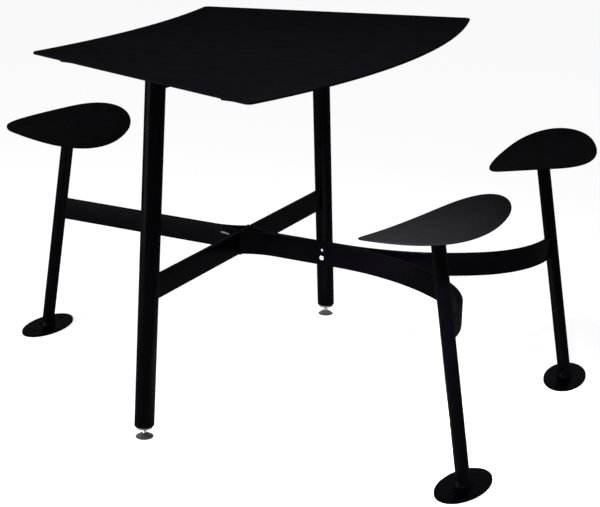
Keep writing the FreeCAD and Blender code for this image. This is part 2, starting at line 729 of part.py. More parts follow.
def make_seat(seat):
    """What turns with one seat, and what it turns in, down its post's axis."""
    pivot = TABLE, SEATS[seat], frame(f"tan(post_lean) * {POST_RISE}", "0", POST_RISE,
                                      "rotationy(post_lean)")
    turned = *pivot, frame(turn=f"rotationz({seat}_seat_turn)")

    outside = roll(f"{seat}_roll_outside", "seat_roll_radius + seat_thick")
    band = cut(f"{seat}_roll", outside, roll(f"{seat}_roll_inside", "seat_roll_radius"))
    shell = boolean("Common", f"{seat}_shell", seat_outline(f"{seat}_outline"), band)
    keep(shell, f"{seat}_seat_shell", *turned)

    blank = disc(f"{seat}_bracket_blank", "bracket_dia", "2 * (bracket_thick + seat_thick)",
                 frame(z=HUB_TOP))
    curve = roll(f"{seat}_bracket_curve", "seat_roll_radius + seat_thick")
    taps = [
        disc(f"{seat}_tap_{i}", "seat_screw_dia", "seat_screw_grip", *place, frame(z=HUB_TOP))
        for i, place in enumerate(screw_places())
    ]
    bracket = cut(f"{seat}_bracket", blank, curve, *taps)
    keep(bracket, f"{seat}_seat_bracket", *turned)

    flange = disc(f"{seat}_hub_flange", "hub_dia", "hub_thick", frame(z=HUB_BASE))
    spindle = disc(f"{seat}_spindle", "spindle_dia", f"({HUB_BASE} - {SPINDLE_END})",
                   frame(z=SPINDLE_END))
    groove_dia = "(spindle_dia - 2 * ring_groove_depth)"
    groove = ring(f"{seat}_groove", "2 * spindle_dia", groove_dia, "ring_thick",
                  frame(z=f"{RING_TOP} - ring_thick"))
    hole_dia = "(seat_screw_dia + 2 * seat_screw_play)"
    holes = [
        disc(f"{seat}_hub_hole_{i}", hole_dia, "hub_thick", *place, frame(z=HUB_BASE))
        for i, place in enumerate(screw_places())
    ]
    hub = cut(f"{seat}_hub", fuse(f"{seat}_hub_whole", flange, spindle), groove, *holes)
    keep(hub, f"{seat}_seat_hub", *turned)

    screws = []
    for i, place in enumerate(screw_places()):
        shank = disc(f"{seat}_screw_shank_{i}", "seat_screw_dia",
                     "hub_thick + seat_screw_grip", frame(z=HUB_BASE))
        head = disc(f"{seat}_screw_head_{i}", "screw_head_dia", "screw_head_thick",
                    frame(z=f"{HUB_BASE} - screw_head_thick"))
        screws.append(put(fuse(f"{seat}_screw_{i}", shank, head), *place))
    keep(group(f"{seat}_screws", *screws), f"{seat}_seat_screws", *turned)

    retainer = ring(f"{seat}_ring", "ring_dia", groove_dia, "ring_thick")
    ring_place = frame(z=f"{RING_TOP} - ring_thick")
    keep(retainer, f"{seat}_retaining_ring", *turned, ring_place)

    bore = "(spindle_dia + 2 * spindle_play)"
    washer = ring(f"{seat}_washer", "post_dia", bore, "thrust_thick")
    keep(washer, f"{seat}_thrust_washer", *pivot, frame(z=BUSH_TOP))
    barrel = disc(f"{seat}_bush_barrel", POST_INNER_DIA, "bush_length + bush_flange",
                  frame(z=f"{POST_TOP} - bush_length"))
    brim = disc(f"{seat}_bush_brim", "post_dia", "bush_flange", frame(z=POST_TOP))
    through = disc(f"{seat}_bush_bore", bore, "2 * bush_length + bush_flange",
                   frame(z=f"{POST_TOP} - 1.5 * bush_length"))
    upper = cut(f"{seat}_bush", fuse(f"{seat}_bush_whole", barrel, brim), through)
    keep(upper, f"{seat}_upper_bush", *pivot)
    lower = ring(f"{seat}_low_bush", POST_INNER_DIA, bore, "bush_length")
    keep(lower, f"{seat}_lower_bush", *pivot, frame(z=LOWER_BUSH_END))


# --- Assembly --------------------------------------------------------------------------

make_tabletop()
make_rails()
make_studs()
for leg_name, leg_turn in LEGS.items():
    make_leg(leg_name, leg_turn)
    make_glide(leg_name, leg_turn)
make_leg_bar()
make_left_arm()
make_right_arms()
make_arm_fasteners()
for seat_name in SEATS:
    make_post(seat_name)
    make_seat(seat_name)

doc.recompute()
for item in doc.Objects:
    if "Invalid" in item.State or "Error" in item.State:
        raise RuntimeError(f"{item.Label} did not recompute: {item.State}")
for item in subparts:
    if item.Shape.isNull() or not item.Shape.isValid():
        raise RuntimeError(f"{item.Label} has no valid shape")

os.makedirs("parts", exist_ok=True)
for item in subparts:
    item.Shape.exportStep(os.path.join("parts", f"{item.Label}.step"))
print(f"{len(subparts)} sub-parts written")
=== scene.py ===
"""Looks of the three-seat table: its steel skin, weld beads, fasteners, finishes and studio.

Lengths are millimetres, like the solids', up to the moment a mesh is made. Plan positions
are counted from the plane through the two legs, with +X toward the pair of seats.
"""

import enum
import logging
import math
from collections.abc import Callable, Iterable, Sequence
from dataclasses import dataclass

import bmesh
import bpy
from mathutils import Matrix, Vector


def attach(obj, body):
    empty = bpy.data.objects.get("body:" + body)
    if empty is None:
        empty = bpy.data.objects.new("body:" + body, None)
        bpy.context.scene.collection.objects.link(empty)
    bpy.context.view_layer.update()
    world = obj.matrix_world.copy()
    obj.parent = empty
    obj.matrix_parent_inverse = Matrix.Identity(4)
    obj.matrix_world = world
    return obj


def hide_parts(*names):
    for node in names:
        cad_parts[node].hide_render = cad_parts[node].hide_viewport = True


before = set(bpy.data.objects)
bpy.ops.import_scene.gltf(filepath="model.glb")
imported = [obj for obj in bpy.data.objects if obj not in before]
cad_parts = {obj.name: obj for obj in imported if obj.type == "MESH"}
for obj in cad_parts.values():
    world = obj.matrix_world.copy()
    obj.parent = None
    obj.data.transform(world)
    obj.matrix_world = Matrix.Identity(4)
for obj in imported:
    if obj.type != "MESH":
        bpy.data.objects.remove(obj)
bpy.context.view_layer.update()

LOG = logging.getLogger("three_seat_table")
MM = 0.001
FRAME_BODY = "table_frame"

# Points that a round loop has, on a large piece and on smaller ones.
TUBE_POINTS = 72
PAD_POINTS = 64
SCREW_POINTS = 48
PIN_POINTS = 40
THREAD_POINTS = 32
BEAD_POINTS = 10

# Steps of a rim's quarter round and of an outline's rounded corner.
RIM_STEPS = 5
CORNER_STEPS = 8

# Angle in degrees above which an edge is drawn sharp, and the reach in metres that welds points.
SHARP_ANGLE = 32.0
MERGE_DISTANCE = 2e-6

QUARTER = math.pi / 2
UP = Vector((0, 0, 1))
UNMOVED = Matrix.Identity(4)
MIRROR = Matrix.Scale(-1, 4, (0, 1, 0))

Piece = bpy.types.Object
Colour = tuple[float, float, float]
Loop = list[Vector]
Trim = Callable[[Vector, Vector], Vector]


def shift(x: float = 0.0, y: float = 0.0, z: float = 0.0) -> Matrix:
    """A move along the axes."""
    return Matrix.Translation((x, y, z))


def spin(turn: float, axis: str = "Z") -> Matrix:
    """A turn about an axis, in radians."""
    return Matrix.Rotation(turn, 4, axis)


# --- Sizes and places shared by several pieces -------------------------------------------


@dataclass(frozen=True)
class Sizes:
    """Sizes of the frame that more than one piece takes."""

    top_height: float = 762.0
    top_thick: float = 5.0
    leg_dia: float = 41.3
    leg_wall: float = 3.2
    leg_foot_y: float = 422.5
    leg_lean: float = math.radians(5.0)
    leg_bottom: float = 26.0
    leg_plate_thick: float = 5.0
    post_dia: float = 28.6
    post_wall: float = 3.2
    post_lean: float = math.radians(9.45)
    left_post_x: float = -554.0
    right_post_x: float = 664.5
    right_post_y: float = 312.5
    pair_turn: float = 7.0
    plate_thick: float = 6.0
    seat_height: float = 506.0
    seat_thick: float = 3.0
    bracket_thick: float = 6.0
    hub_thick: float = 5.0
    swivel_gap: float = 3.6
    bush_run: float = 90.0
    arm_level: float = 312.5
    arm_height: float = 50.8
    arm_thick: float = 8.0
    leg_bar_thick: float = 10.0
    tube_chamfer: float = 0.5
    tube_strip: float = 3.0

    @property
    def under_top(self) -> float:
        """Level of the tabletop's underside."""
        return self.top_height - self.top_thick

    @property
    def leg_top(self) -> float:
        """Level of the legs' upper ends, under their plates."""
        return self.under_top - self.leg_plate_thick

    @property
    def leg_plane_x(self) -> float:
        """Place of the legs' plane, seen from the middle of the whole footprint."""
        return -(self.left_post_x + self.right_post_x) / 2

    @property
    def post_rise(self) -> float:
        """Height of a seat's pivot over its floor plate."""
        return self.seat_height - self.plate_thick

    @property
    def hub_base(self) -> float:
        """Level of the hub's underside, along the post's axis from the sitting surface."""
        return -self.seat_thick - self.bracket_thick - self.hub_thick

    @property
    def post_end(self) -> float:
        """Level of the post's upper end, under the washer and the upper bush's brim."""
        return self.hub_base - self.swivel_gap


SIZES = Sizes()


class Side(enum.Enum):
    """The two legs, and the half turn that carries one to the other."""

    FRONT = ("front", 0.0)
    REAR = ("rear", math.pi)

    @property
    def label(self) -> str:
        """The leg's name, as in the solids' names."""
        return self.value[0]

    @property
    def turn(self) -> Matrix:
        """Carries the front leg's frame to this leg."""
        return spin(self.value[1])


@dataclass(frozen=True)
class Standing:
    """Where a seat stands, and its turns in degrees: toward the table, and at rest."""

    label: str
    x: float
    y: float
    facing: float
    resting: float


class Station(enum.Enum):
    """The three seats."""

    LEFT = Standing("left", SIZES.left_post_x, 0.0, 0.0, -102.5)
    FRONT = Standing("front", SIZES.right_post_x, -SIZES.right_post_y, 180 - SIZES.pair_turn, 71.0)
    REAR = Standing("rear", SIZES.right_post_x, SIZES.right_post_y, 180 + SIZES.pair_turn, 89.0)

    @property
    def label(self) -> str:
        """The seat's name, as in the solids' names."""
        return self.value.label

    @property
    def body(self) -> str:
        """The body that turns with the seat."""
        return f"{self.label}_seat"

    @property
    def foot(self) -> Matrix:
        """Frame at the post's foot, on its floor plate, with +X toward the table."""
        place = shift(self.value.x, self.value.y, SIZES.plate_thick)
        return place @ spin(math.radians(self.value.facing))

    @property
    def leaning(self) -> Matrix:
        """The foot's frame turned so that +Z runs up the post."""
        return self.foot @ spin(SIZES.post_lean, "Y")

    @property
    def pivot(self) -> Matrix:
        """Frame on the post's axis, at the sitting surface."""
        reach = math.tan(SIZES.post_lean) * SIZES.post_rise
        return self.foot @ shift(reach, 0.0, SIZES.post_rise) @ spin(SIZES.post_lean, "Y")

    @property
    def seat(self) -> Matrix:
        """Frame of the seat, with +X toward its tip."""
        return self.pivot @ spin(math.radians(self.value.resting))


# --- Mesh making ---------------------------------------------------------------------------


def settle(name: str, mesh: bmesh.types.BMesh) -> Piece:
    """Turn a working mesh into an object of the scene.

    Args:
        name: Name of the object.
        mesh: The mesh, which is used up.

    Returns:
        The object.
    """
    data = bpy.data.meshes.new(name)
    mesh.to_mesh(data)
    mesh.free()
    made = bpy.data.objects.new(name, data)
    bpy.context.scene.collection.objects.link(made)
    return made


def shade(data: bpy.types.Mesh, sharp: float = SHARP_ANGLE) -> None:
    """Shade a mesh smooth, with its edges sharp above an angle in degrees."""
    data.shade_smooth()
    data.set_sharp_from_angle(angle=math.radians(sharp))


def skin(
    name: str, loops: Iterable[Iterable[Vector]], place: Matrix = UNMOVED,
    closed: bool = False, sharp: float = SHARP_ANGLE,
) -> Piece:
    """Skin a row of loops with quads, as an object in the table's frame.

    Args:
        name: Name of the object.
        loops: Loops of the same length, in order.
        place: Carries the points to the plan from the legs' plane.
        closed: Whether the last loop joins the first, in place of two end faces.
        sharp: Angle in degrees above which an edge is drawn sharp.

    Returns:
        The new object, with its origin at the frame's origin.
    """
    mesh = bmesh.new()
    rings = [[mesh.verts.new(point) for point in points] for points in loops]
    for first, second in zip(rings, rings[1:] + rings[:1] if closed else rings[1:]):
        for i, vertex in enumerate(first):
            j = (i + 1) % len(first)
            mesh.faces.new((vertex, first[j], second[j], second[i]))
    if not closed:
        mesh.faces.new(list(reversed(rings[0])))
        mesh.faces.new(rings[-1])
    mesh.transform(Matrix.Scale(MM, 4) @ (shift(SIZES.leg_plane_x) @ place))
    bmesh.ops.remove_doubles(mesh, verts=mesh.verts, dist=MERGE_DISTANCE)
    bmesh.ops.recalc_face_normals(mesh, faces=mesh.faces)
    made = settle(name, mesh)
    shade(made.data, sharp)
    return made


def join(name: str, pieces: Sequence[Piece]) -> Piece:
    """Join objects that share a finish and a body into one.

    Args:
        name: Name of the joined object.
        pieces: The objects, which are used up.

    Returns:
        The joined object.
    """
    mesh = bmesh.new()
    for piece in pieces:
        mesh.from_mesh(piece.data)
        bpy.data.objects.remove(piece)
    return settle(name, mesh)


def carve(piece: Piece, cutters: Sequence[Piece]) -> None:
    """Cut solids out of a piece.

    Args:
        piece: The object that is cut.
        cutters: Closed objects, which are used up.
    """
    tool = join("cutter", cutters)
    modifier = piece.modifiers.new("cut", "BOOLEAN")
    modifier.object = tool
    modifier.operation = "DIFFERENCE"
    modifier.solver = "EXACT"
    seen = bpy.context.evaluated_depsgraph_get()
    cut = bpy.data.meshes.new_from_object(piece.evaluated_get(seen))
    piece.modifiers.clear()
    piece.data = cut
    shade(cut)
    bpy.data.objects.remove(tool)


def circle(radius: float, z: float = 0.0, count: int = TUBE_POINTS) -> Loop:
    """A round loop about Z, at a level."""
    turns = (2 * math.pi * i / count for i in range(count))
    return [Vector((radius * math.cos(t), radius * math.sin(t), z)) for t in turns]


def revolve(profile: Iterable[tuple[float, float]], count: int = TUBE_POINTS) -> list[Loop]:
    """Loops of a turned piece, from the radius and level of each."""
    return [circle(radius, z, count) for radius, z in profile]


def hexagon(across_flats: float, z: float, cap: float = math.inf) -> Loop:
    """A six-sided loop about Z, cut back to a circle where that is smaller.

    Args:
        across_flats: Distance between opposite sides.
        z: Its level.
        cap: Radius of the circle.

    Returns:
        The loop's points.
    """
    points = []
    for i in range(SCREW_POINTS):
        turn = 2 * math.pi * i / SCREW_POINTS
        from_flat = (turn % (math.pi / 3)) - math.pi / 6
        radius = min(across_flats / 2 / math.cos(from_flat), cap)
        points.append(Vector((radius * math.cos(turn), radius * math.sin(turn), z)))
    return points


def rounding(radius: float) -> list[tuple[float, float]]:
    """A quarter round, as how far each point lies inside the side and under the flat."""
    turns = (QUARTER * i / RIM_STEPS for i in range(RIM_STEPS + 1))
    return [(radius * (1 - math.sin(t)), radius * (1 - math.cos(t))) for t in turns]


def inset(outline: Loop, distance: float) -> Loop:
    """Move an outline inward.

    Args:
        outline: A loop that runs counterclockwise.
        distance: How far it moves.

    Returns:
        The smaller outline.
    """
    moved = []
    for i, point in enumerate(outline):
        along = outline[(i + 1) % len(outline)] - outline[i - 1]
        inward = Vector((-along.y, along.x, 0.0)).normalized()
        moved.append(point + inward * distance)
    return moved


def plate_loops(
    outline: Loop, thick: float, upper_round: float, lower_round: float, margin: float = 1.5
) -> list[Loop]:
    """Loops of a flat plate with rounded rims, from its top down to its underside.

    Args:
        outline: The plate's outline, counterclockwise, at its top.
        thick: Its thickness.
        upper_round: Radius of the upper rim.
        lower_round: Radius of the lower rim.
        margin: Width of the flat strip that keeps the rim's shading to itself.

    Returns:
        The loops.
    """
    rows = [(upper_round + margin, 0.0), *rounding(upper_round)]
    rows += [(rim, thick - drop) for rim, drop in reversed(rounding(lower_round))]
    rows += [(lower_round + margin, thick)]
    return [[p - Vector((0, 0, drop)) for p in inset(outline, rim)] for rim, drop in rows]


def arc(centre: Vector, radius: float, start: float, end: float, steps: int) -> Loop:
    """Points along an arc in the plan, both of its ends among them."""
    turns = (start + (end - start) * i / steps for i in range(steps + 1))
    return [centre + radius * Vector((math.cos(t), math.sin(t), 0.0)) for t in turns]


def rounded_box(x: float, y: float, radius: float, steps: int, z: float = 0.0) -> Loop:
    """A rectangle with rounded corners, counterclockwise from its right side.

    Args:
        x: Half its width along X.
        y: Half its width along Y.
        radius: Radius of its corners.
        steps: Steps of each corner.
        z: Its level.

    Returns:
        The loop's points.
    """
    points = []
    for i, (sign_x, sign_y) in enumerate(((1, 1), (-1, 1), (-1, -1), (1, -1))):
        centre = Vector((sign_x * (x - radius), sign_y * (y - radius), z))
        points += arc(centre, radius, QUARTER * i, QUARTER * (i + 1), steps)
    return points


def rounded_corner(corner: Vector, before: Vector, after: Vector, radius: float) -> Loop:
    """Points that round a corner of an outline.

    Args:
        corner: The sharp corner.
        before: Unit vector from the corner back along the outline.
        after: Unit vector from the corner on along the outline.
        radius: Radius of the round.

    Returns:
        The points, from the first tangent point to the second.
    """
    half = before.angle(after) / 2
    reach = radius / math.tan(half)
    centre = corner + (before + after).normalized() * radius / math.sin(half)
    first = (corner + before * reach - centre).normalized()
    last = (corner + after * reach - centre).normalized()
    return [centre + radius * first.slerp(last, i / CORNER_STEPS) for i in range(CORNER_STEPS + 1)]


def bead(name: str, path: Loop, radius: float, closed: bool = True) -> Piece:
    """A coated weld bead: a low ripple of metal along a seam.

    Args:
        name: Name of the object.
        path: Points along the seam.
        radius: Radius of the bead.
        closed: Whether the seam runs round to its start.

    Returns:
        The bead.
    """
    ripple, ripple_pitch, end_taper, steep = 0.1, 3.1, 0.45, 0.9
    loops, travelled = [], 0.0
    last = len(path) - 1
    for i, point in enumerate(path):
        before = path[i - 1] if closed or i else point
        after = path[(i + 1) % len(path)] if closed or i < last else point
        along = (after - before).normalized()
        travelled += (point - before).length if i else 0.0
        side = along.cross(UP) if abs(along.z) < steep else along.orthogonal()
        side.normalize()
        up = side.cross(along)
        swell = 1.0 + ripple * math.sin(2 * math.pi * travelled / ripple_pitch)
        taper = 1.0 if closed or 0 < i < last else end_taper
        thick = radius * swell * taper
        turns = (2 * math.pi * k / BEAD_POINTS for k in range(BEAD_POINTS))
        loops.append([point + thick * (math.cos(t) * side + math.sin(t) * up) for t in turns])
    return skin(name, loops, closed=closed)


def spread_evenly(path: Loop, step: float) -> Loop:
    """Spread points evenly along a path that runs round to its start.

    Args:
        path: The path's points.
        step: Distance between the new points.

    Returns:
        The new points.
    """
    points = [*path, path[0]]
    spans = [(b - a).length for a, b in zip(points, points[1:])]
    count = max(int(sum(spans) / step), 3)
    result, index, passed = [], 0, 0.0
    for i in range(count):
        target = sum(spans) * i / count
        while index < len(spans) - 1 and passed + spans[index] < target:
            passed += spans[index]
            index += 1
        share = (target - passed) / spans[index] if spans[index] else 0.0
        result.append(points[index].lerp(points[index + 1], min(share, 1.0)))
    return result


# --- Fasteners -----------------------------------------------------------------------------


@dataclass(frozen=True)
class Thread:
    """A screw thread, drawn as a helical wave of the shank's radius."""

    dia: float
    pitch: float
    depth: float
    rows_a_pitch: int = 6
    end_cut: float = 1.2

    def loops(self, start: float, end: float) -> list[Loop]:
        """Loops of a threaded shank with chamfered ends.

        Args:
            start: Level of its lower end.
            end: Level of its upper end.

        Returns:
            The loops.
        """
        steps = int((end - start) / self.pitch * self.rows_a_pitch)
        tip = self.dia / 2 - self.end_cut * self.depth
        loops = [circle(tip, start, THREAD_POINTS)]
        for i in range(steps + 1):
            z = start + (end - start) * i / steps
            near_end = min(z - start, end - z)
            row = circle(1.0, z, THREAD_POINTS)
            for j, point in enumerate(row):
                phase = (z / self.pitch - j / THREAD_POINTS) % 1.0
                groove = self.depth * (1 - abs(2 * phase - 1))
                radius = min(self.dia / 2 - groove, self.dia / 2 - self.depth + near_end)
                point.x, point.y = point.x * radius, point.y * radius
            loops.append(row)
        return [*loops, circle(tip, end, THREAD_POINTS)]


@dataclass(frozen=True)
class Nut:
    """A hexagon nut that stands on level 0, chamfered outside and in its hole."""

    across_flats: float
    thick: float
    bore: float
    bore_chamfer: float = 0.5
    face_share: float = 0.96
    slope_share: float = 0.09
    corner_reach: float = 1.6

    def loops(self) -> list[Loop]:
        """Loops of the nut, to be closed on themselves.

        Returns:
            The loops.
        """
        rim, slope = self.face_share * self.across_flats / 2, self.slope_share * self.across_flats
        rows = ((0.0, 0.0), (0.5, slope), (1.0, self.corner_reach * slope))
        lower = [hexagon(self.across_flats, drop * slope, rim + out) for drop, out in rows]
        upper = [
            hexagon(self.across_flats, self.thick - drop * slope, rim + out)
            for drop, out in reversed(rows)
        ]
        hole, cut = self.bore / 2, self.bore_chamfer
        inside = [(hole + cut, self.thick), (hole, self.thick - cut), (hole, cut), (hole + cut, 0)]
        return lower + upper + revolve(inside, SCREW_POINTS)


@dataclass(frozen=True)
class SocketScrew:
    """A screw whose head hangs under level 0 and has a hexagon socket."""

    dia: float
    head_dia: float
    head_thick: float
    key: float
    key_depth: float
    tip_chamfer: float = 0.6
    head_break: float = 0.25
    dome_share: float = 0.45
    dome_sweep: float = 0.8
    dome_steps: int = 5
    mouth_share: float = 0.66
    mouth_drop: float = 0.1
    point_radius: float = 0.1

    def loops(self, length: float) -> list[Loop]:
        """Loops of the screw, from its tip round to the bottom of its socket.

        Args:
            length: Length of the shank, which stands up from level 0.

        Returns:
            The loops.
        """
        shank, head, face = self.dia / 2, self.head_dia / 2, -self.head_thick
        profile = [(shank - self.tip_chamfer, length), (shank, length - self.tip_chamfer)]
        profile += [(shank, 0.0), (head - self.head_break, 0.0), (head, -self.head_break)]
        dome = self.dome_share * self.head_thick
        for i in range(self.dome_steps + 1):
            turn = QUARTER * i / self.dome_steps * self.dome_sweep
            side = head - dome + dome * math.cos(turn)
            profile.append((side, face + dome - dome * math.sin(turn)))
        profile.append((self.mouth_share * self.key, face))
        mouth = face + 0.02 * self.head_dia + self.mouth_drop
        socket = [hexagon(self.key, z) for z in (mouth, face + self.key_depth)]
        point = circle(self.point_radius, face + 1.15 * self.key_depth, SCREW_POINTS)
        return [*revolve(profile, SCREW_POINTS), *socket, point]


# --- Shader arithmetic -------------------------------------------------------------------


@dataclass(frozen=True)
class Wire:
    """One output of a shader node. Arithmetic on a number adds Math nodes."""

    graph: "Graph"
    socket: bpy.types.NodeSocket

    def _with(self, operation: str, first: "Wire | float", second: "Wire | float") -> "Wire":
        """Add a Math node and return its output."""
        return self.graph.wire("ShaderNodeMath", {"operation": operation}, {0: first, 1: second})

    def __add__(self, other: "Wire | float") -> "Wire":
        """Sum."""
        return self._with("ADD", self, other)

    __radd__ = __add__

    def __mul__(self, other: "Wire | float") -> "Wire":
        """Product."""
        return self._with("MULTIPLY", self, other)

    __rmul__ = __mul__

    def __sub__(self, other: "Wire | float") -> "Wire":
        """Difference."""
        return self._with("SUBTRACT", self, other)

    def __rsub__(self, other: "Wire | float") -> "Wire":
        """Difference, the other way round."""
        return self._with("SUBTRACT", other, self)

    def at_least(self, other: "Wire | float") -> "Wire":
        """The larger of the two."""
        return self._with("MAXIMUM", self, other)


class Graph:
    """The nodes of one material or world."""

    def __init__(self, owner: bpy.types.Material | bpy.types.World) -> None:
        """Empty the node tree of a new material or world.

        Args:
            owner: The material or world.
        """
        self.owner = owner
        self.owner.use_nodes = True
        self.tree = self.owner.node_tree
        self.tree.nodes.clear()

    def node(
        self, kind: str, settings: dict[str, object] | None = None,
        inputs: dict[int | str, object] | None = None,
    ) -> bpy.types.Node:
        """Add a node.

        Args:
            kind: Its type.
            settings: Its own properties, set first.
            inputs: Values or wires for its inputs.

        Returns:
            The node.
        """
        node = self.tree.nodes.new(kind)
        for key, value in (settings or {}).items():
            setattr(node, key, value)
        for key, value in (inputs or {}).items():
            if isinstance(value, Wire):
                self.tree.links.new(value.socket, node.inputs[key])
            else:
                node.inputs[key].default_value = value
        return node

    def wire(
        self, kind: str, settings: dict[str, object] | None = None,
        inputs: dict[int | str, object] | None = None, output: int | str = 0,
    ) -> Wire:
        """Add a node and return one of its outputs."""
        return Wire(self, self.node(kind, settings, inputs).outputs[output])

    def noise(
        self, grain_mm: float, detail: float = 3.0, stretch: Sequence[float] = (1, 1, 1)
    ) -> Wire:
        """Noise over the object's own space.

        Args:
            grain_mm: Size of its patches.
            detail: How many finer layers it has.
            stretch: Scale along X, Y and Z.

        Returns:
            The noise.
        """
        place = self.wire("ShaderNodeTexCoord", output="Object")
        scaled = self.wire("ShaderNodeMapping", {}, {"Vector": place, "Scale": tuple(stretch)})
        inputs = {"Vector": scaled, "Scale": 1.0 / (grain_mm * MM), "Detail": detail}
        return self.wire("ShaderNodeTexNoise", {}, inputs, "Fac")

    def blend(self, share: Wire, first: Colour, second: Colour) -> Wire:
        """Mix two colours, the first at 0 and the second at 1."""
        inputs = {"Factor": share, "A": (*first, 1.0), "B": (*second, 1.0)}
        return self.wire("ShaderNodeMix", {"data_type": "RGBA"}, inputs, "Result")

    def bump(self, height: Wire, depth_mm: float, strength: float = 1.0) -> Wire:
        """Turn a height from 0 to 1, and the depth that 1 stands for, into a normal."""
        inputs = {"Height": height, "Distance": depth_mm * MM, "Strength": strength}
        return self.wire("ShaderNodeBump", {}, inputs)

    def finish(self, inputs: dict[int | str, object]) -> bpy.types.Material:
        """Close the graph with a Principled shader.

        Args:
            inputs: Values and wires for the shader.

        Returns:
            The material.
        """
        shader = self.wire("ShaderNodeBsdfPrincipled", {}, inputs)
        self.node("ShaderNodeOutputMaterial", {}, {"Surface": shader})
        return self.owner


# --- Finishes ------------------------------------------------------------------------------


@dataclass(frozen=True)
class PowderCoat:
    """Matt black powder coat: fine grain, faint mottle, a thin sheen that catches the lamps."""

    name: str
    colour: Colour
    sheen: float
    sheen_spread: float = 0.36
    grain_mm: float = 1.1
    grain_depth_mm: float = 0.018
    mottle_mm: float = 34.0
    peel_mm: float = 4.2
    grain_share: float = 0.65
    darkest: float = 0.72
    lightest: float = 1.3
    roughness: float = 0.62
    roughness_swing: float = 0.16
    least_sheen: float = 0.75
    sheen_swing: float = 0.5

    def make(self) -> bpy.types.Material:
        """Build the material.

        Returns:
            The material.
        """
        graph = Graph(bpy.data.materials.new(self.name))
        mottle = graph.noise(self.mottle_mm, detail=4.0)
        grain = graph.noise(self.grain_mm, detail=2.0)
        orange_peel = graph.noise(self.peel_mm, detail=1.0)
        deep, light = (
            tuple(share * c for c in self.colour) for share in (self.darkest, self.lightest)
        )
        height = self.grain_share * grain + (1 - self.grain_share) * orange_peel
        return graph.finish({
            "Base Color": graph.blend(mottle, deep, light),
            "Roughness": self.roughness + self.roughness_swing * (grain - 0.5),
            "Specular IOR Level": 0.0,
            "Coat Weight": self.sheen * (self.least_sheen + self.sheen_swing * mottle),
            "Coat Roughness": self.sheen_spread,
            "Coat IOR": 1.5,
            "Normal": graph.bump(height, self.grain_depth_mm),
        })


@dataclass(frozen=True)
class BareSteel:
    """Bright steel, plated or stainless, with fine turning marks and slight clouding."""

    name: str
    colour: Colour
    roughness: float
    clouding: float
    cloud_mm: float = 3.5
    mark_mm: float = 0.35
    mark_stretch: float = 0.15
    mark_depth_mm: float = 0.006
    mark_strength: float = 0.6
    cloud_swing: float = 0.14
    mark_swing: float = 0.08

    def make(self) -> bpy.types.Material:
        """Build the material.

        Returns:
            The material.
        """
        graph = Graph(bpy.data.materials.new(self.name))
        cloud = graph.noise(self.cloud_mm, detail=3.0)
        marks = graph.noise(self.mark_mm, detail=2.0, stretch=(1, 1, self.mark_stretch))
        dull = tuple(c * (1 - self.clouding) for c in self.colour)
        roughness = self.roughness + self.cloud_swing * (cloud - 0.5)
        roughness += self.mark_swing * (marks - 0.5)
        return graph.finish({
            "Base Color": graph.blend(cloud, dull, self.colour),
            "Metallic": 1.0,
            "Roughness": roughness,
            "Normal": graph.bump(marks, self.mark_depth_mm, self.mark_strength),
        })


@dataclass(frozen=True)
class Nylon:
    """Moulded nylon with a fine matt texture."""

    name: str
    colour: Colour
    roughness: float = 0.55
    grain_mm: float = 0.6
    grain_depth_mm: float = 0.012
    cloud_mm: float = 9.0
    roughness_swing: float = 0.15
    gloss: float = 0.35

    def make(self) -> bpy.types.Material:
        """Build the material.

        Returns:
            The material.
        """
        graph = Graph(bpy.data.materials.new(self.name))
        grain = graph.noise(self.grain_mm, detail=2.0)
        cloud = graph.noise(self.cloud_mm, detail=2.0)
        worn = tuple(min(1.25 * c + 0.01, 1.0) for c in self.colour)
        return graph.finish({
            "Base Color": graph.blend(cloud, self.colour, worn),
            "Roughness": self.roughness + self.roughness_swing * (grain - 0.5),
            "Specular IOR Level": self.gloss,
            "Normal": graph.bump(grain, self.grain_depth_mm),
        })


class Finish(enum.Enum):
    """Every finish on the table, by the name of its material slot."""

    # TOP, SEAT and FRAME are one black powder coat on the real table. Their base colours are
    # painted shade: each is set to how dark its parts show, and the frame's is darkest, to stand in
    # for the shade on the legs, posts and bars.
    TOP = PowderCoat("top_coat", (0.0042, 0.0039, 0.0056), sheen=0.007)
    SEAT = PowderCoat("seat_coat", (0.0033, 0.0032, 0.0038), sheen=0.012)
    # Painted shade: a near-black base, so that the legs, posts and bars read as shaded.
    FRAME = PowderCoat(
        "frame_coat", (0.0005, 0.0004, 0.0009), sheen=0.034, sheen_spread=0.26, grain_mm=0.9
    )
    OXIDE = PowderCoat(
        "hub_steel", (0.012, 0.012, 0.013), sheen=0.05, sheen_spread=0.3,
        grain_mm=0.5, grain_depth_mm=0.006,
    )
    ZINC = BareSteel("zinc_steel", (0.60, 0.61, 0.60), roughness=0.34, clouding=0.25)
    STAINLESS = BareSteel("stainless", (0.70, 0.70, 0.69), roughness=0.24, clouding=0.10)
    TAG = BareSteel("tag_metal", (0.11, 0.11, 0.115), roughness=0.5, clouding=0.2)
    PAD = Nylon("grey_nylon", (0.038, 0.038, 0.038))
    PLUG = Nylon("plug_nylon", (0.16, 0.16, 0.165), roughness=0.6)
    BUSH = Nylon("bush_nylon", (0.006, 0.006, 0.0065), roughness=0.5)


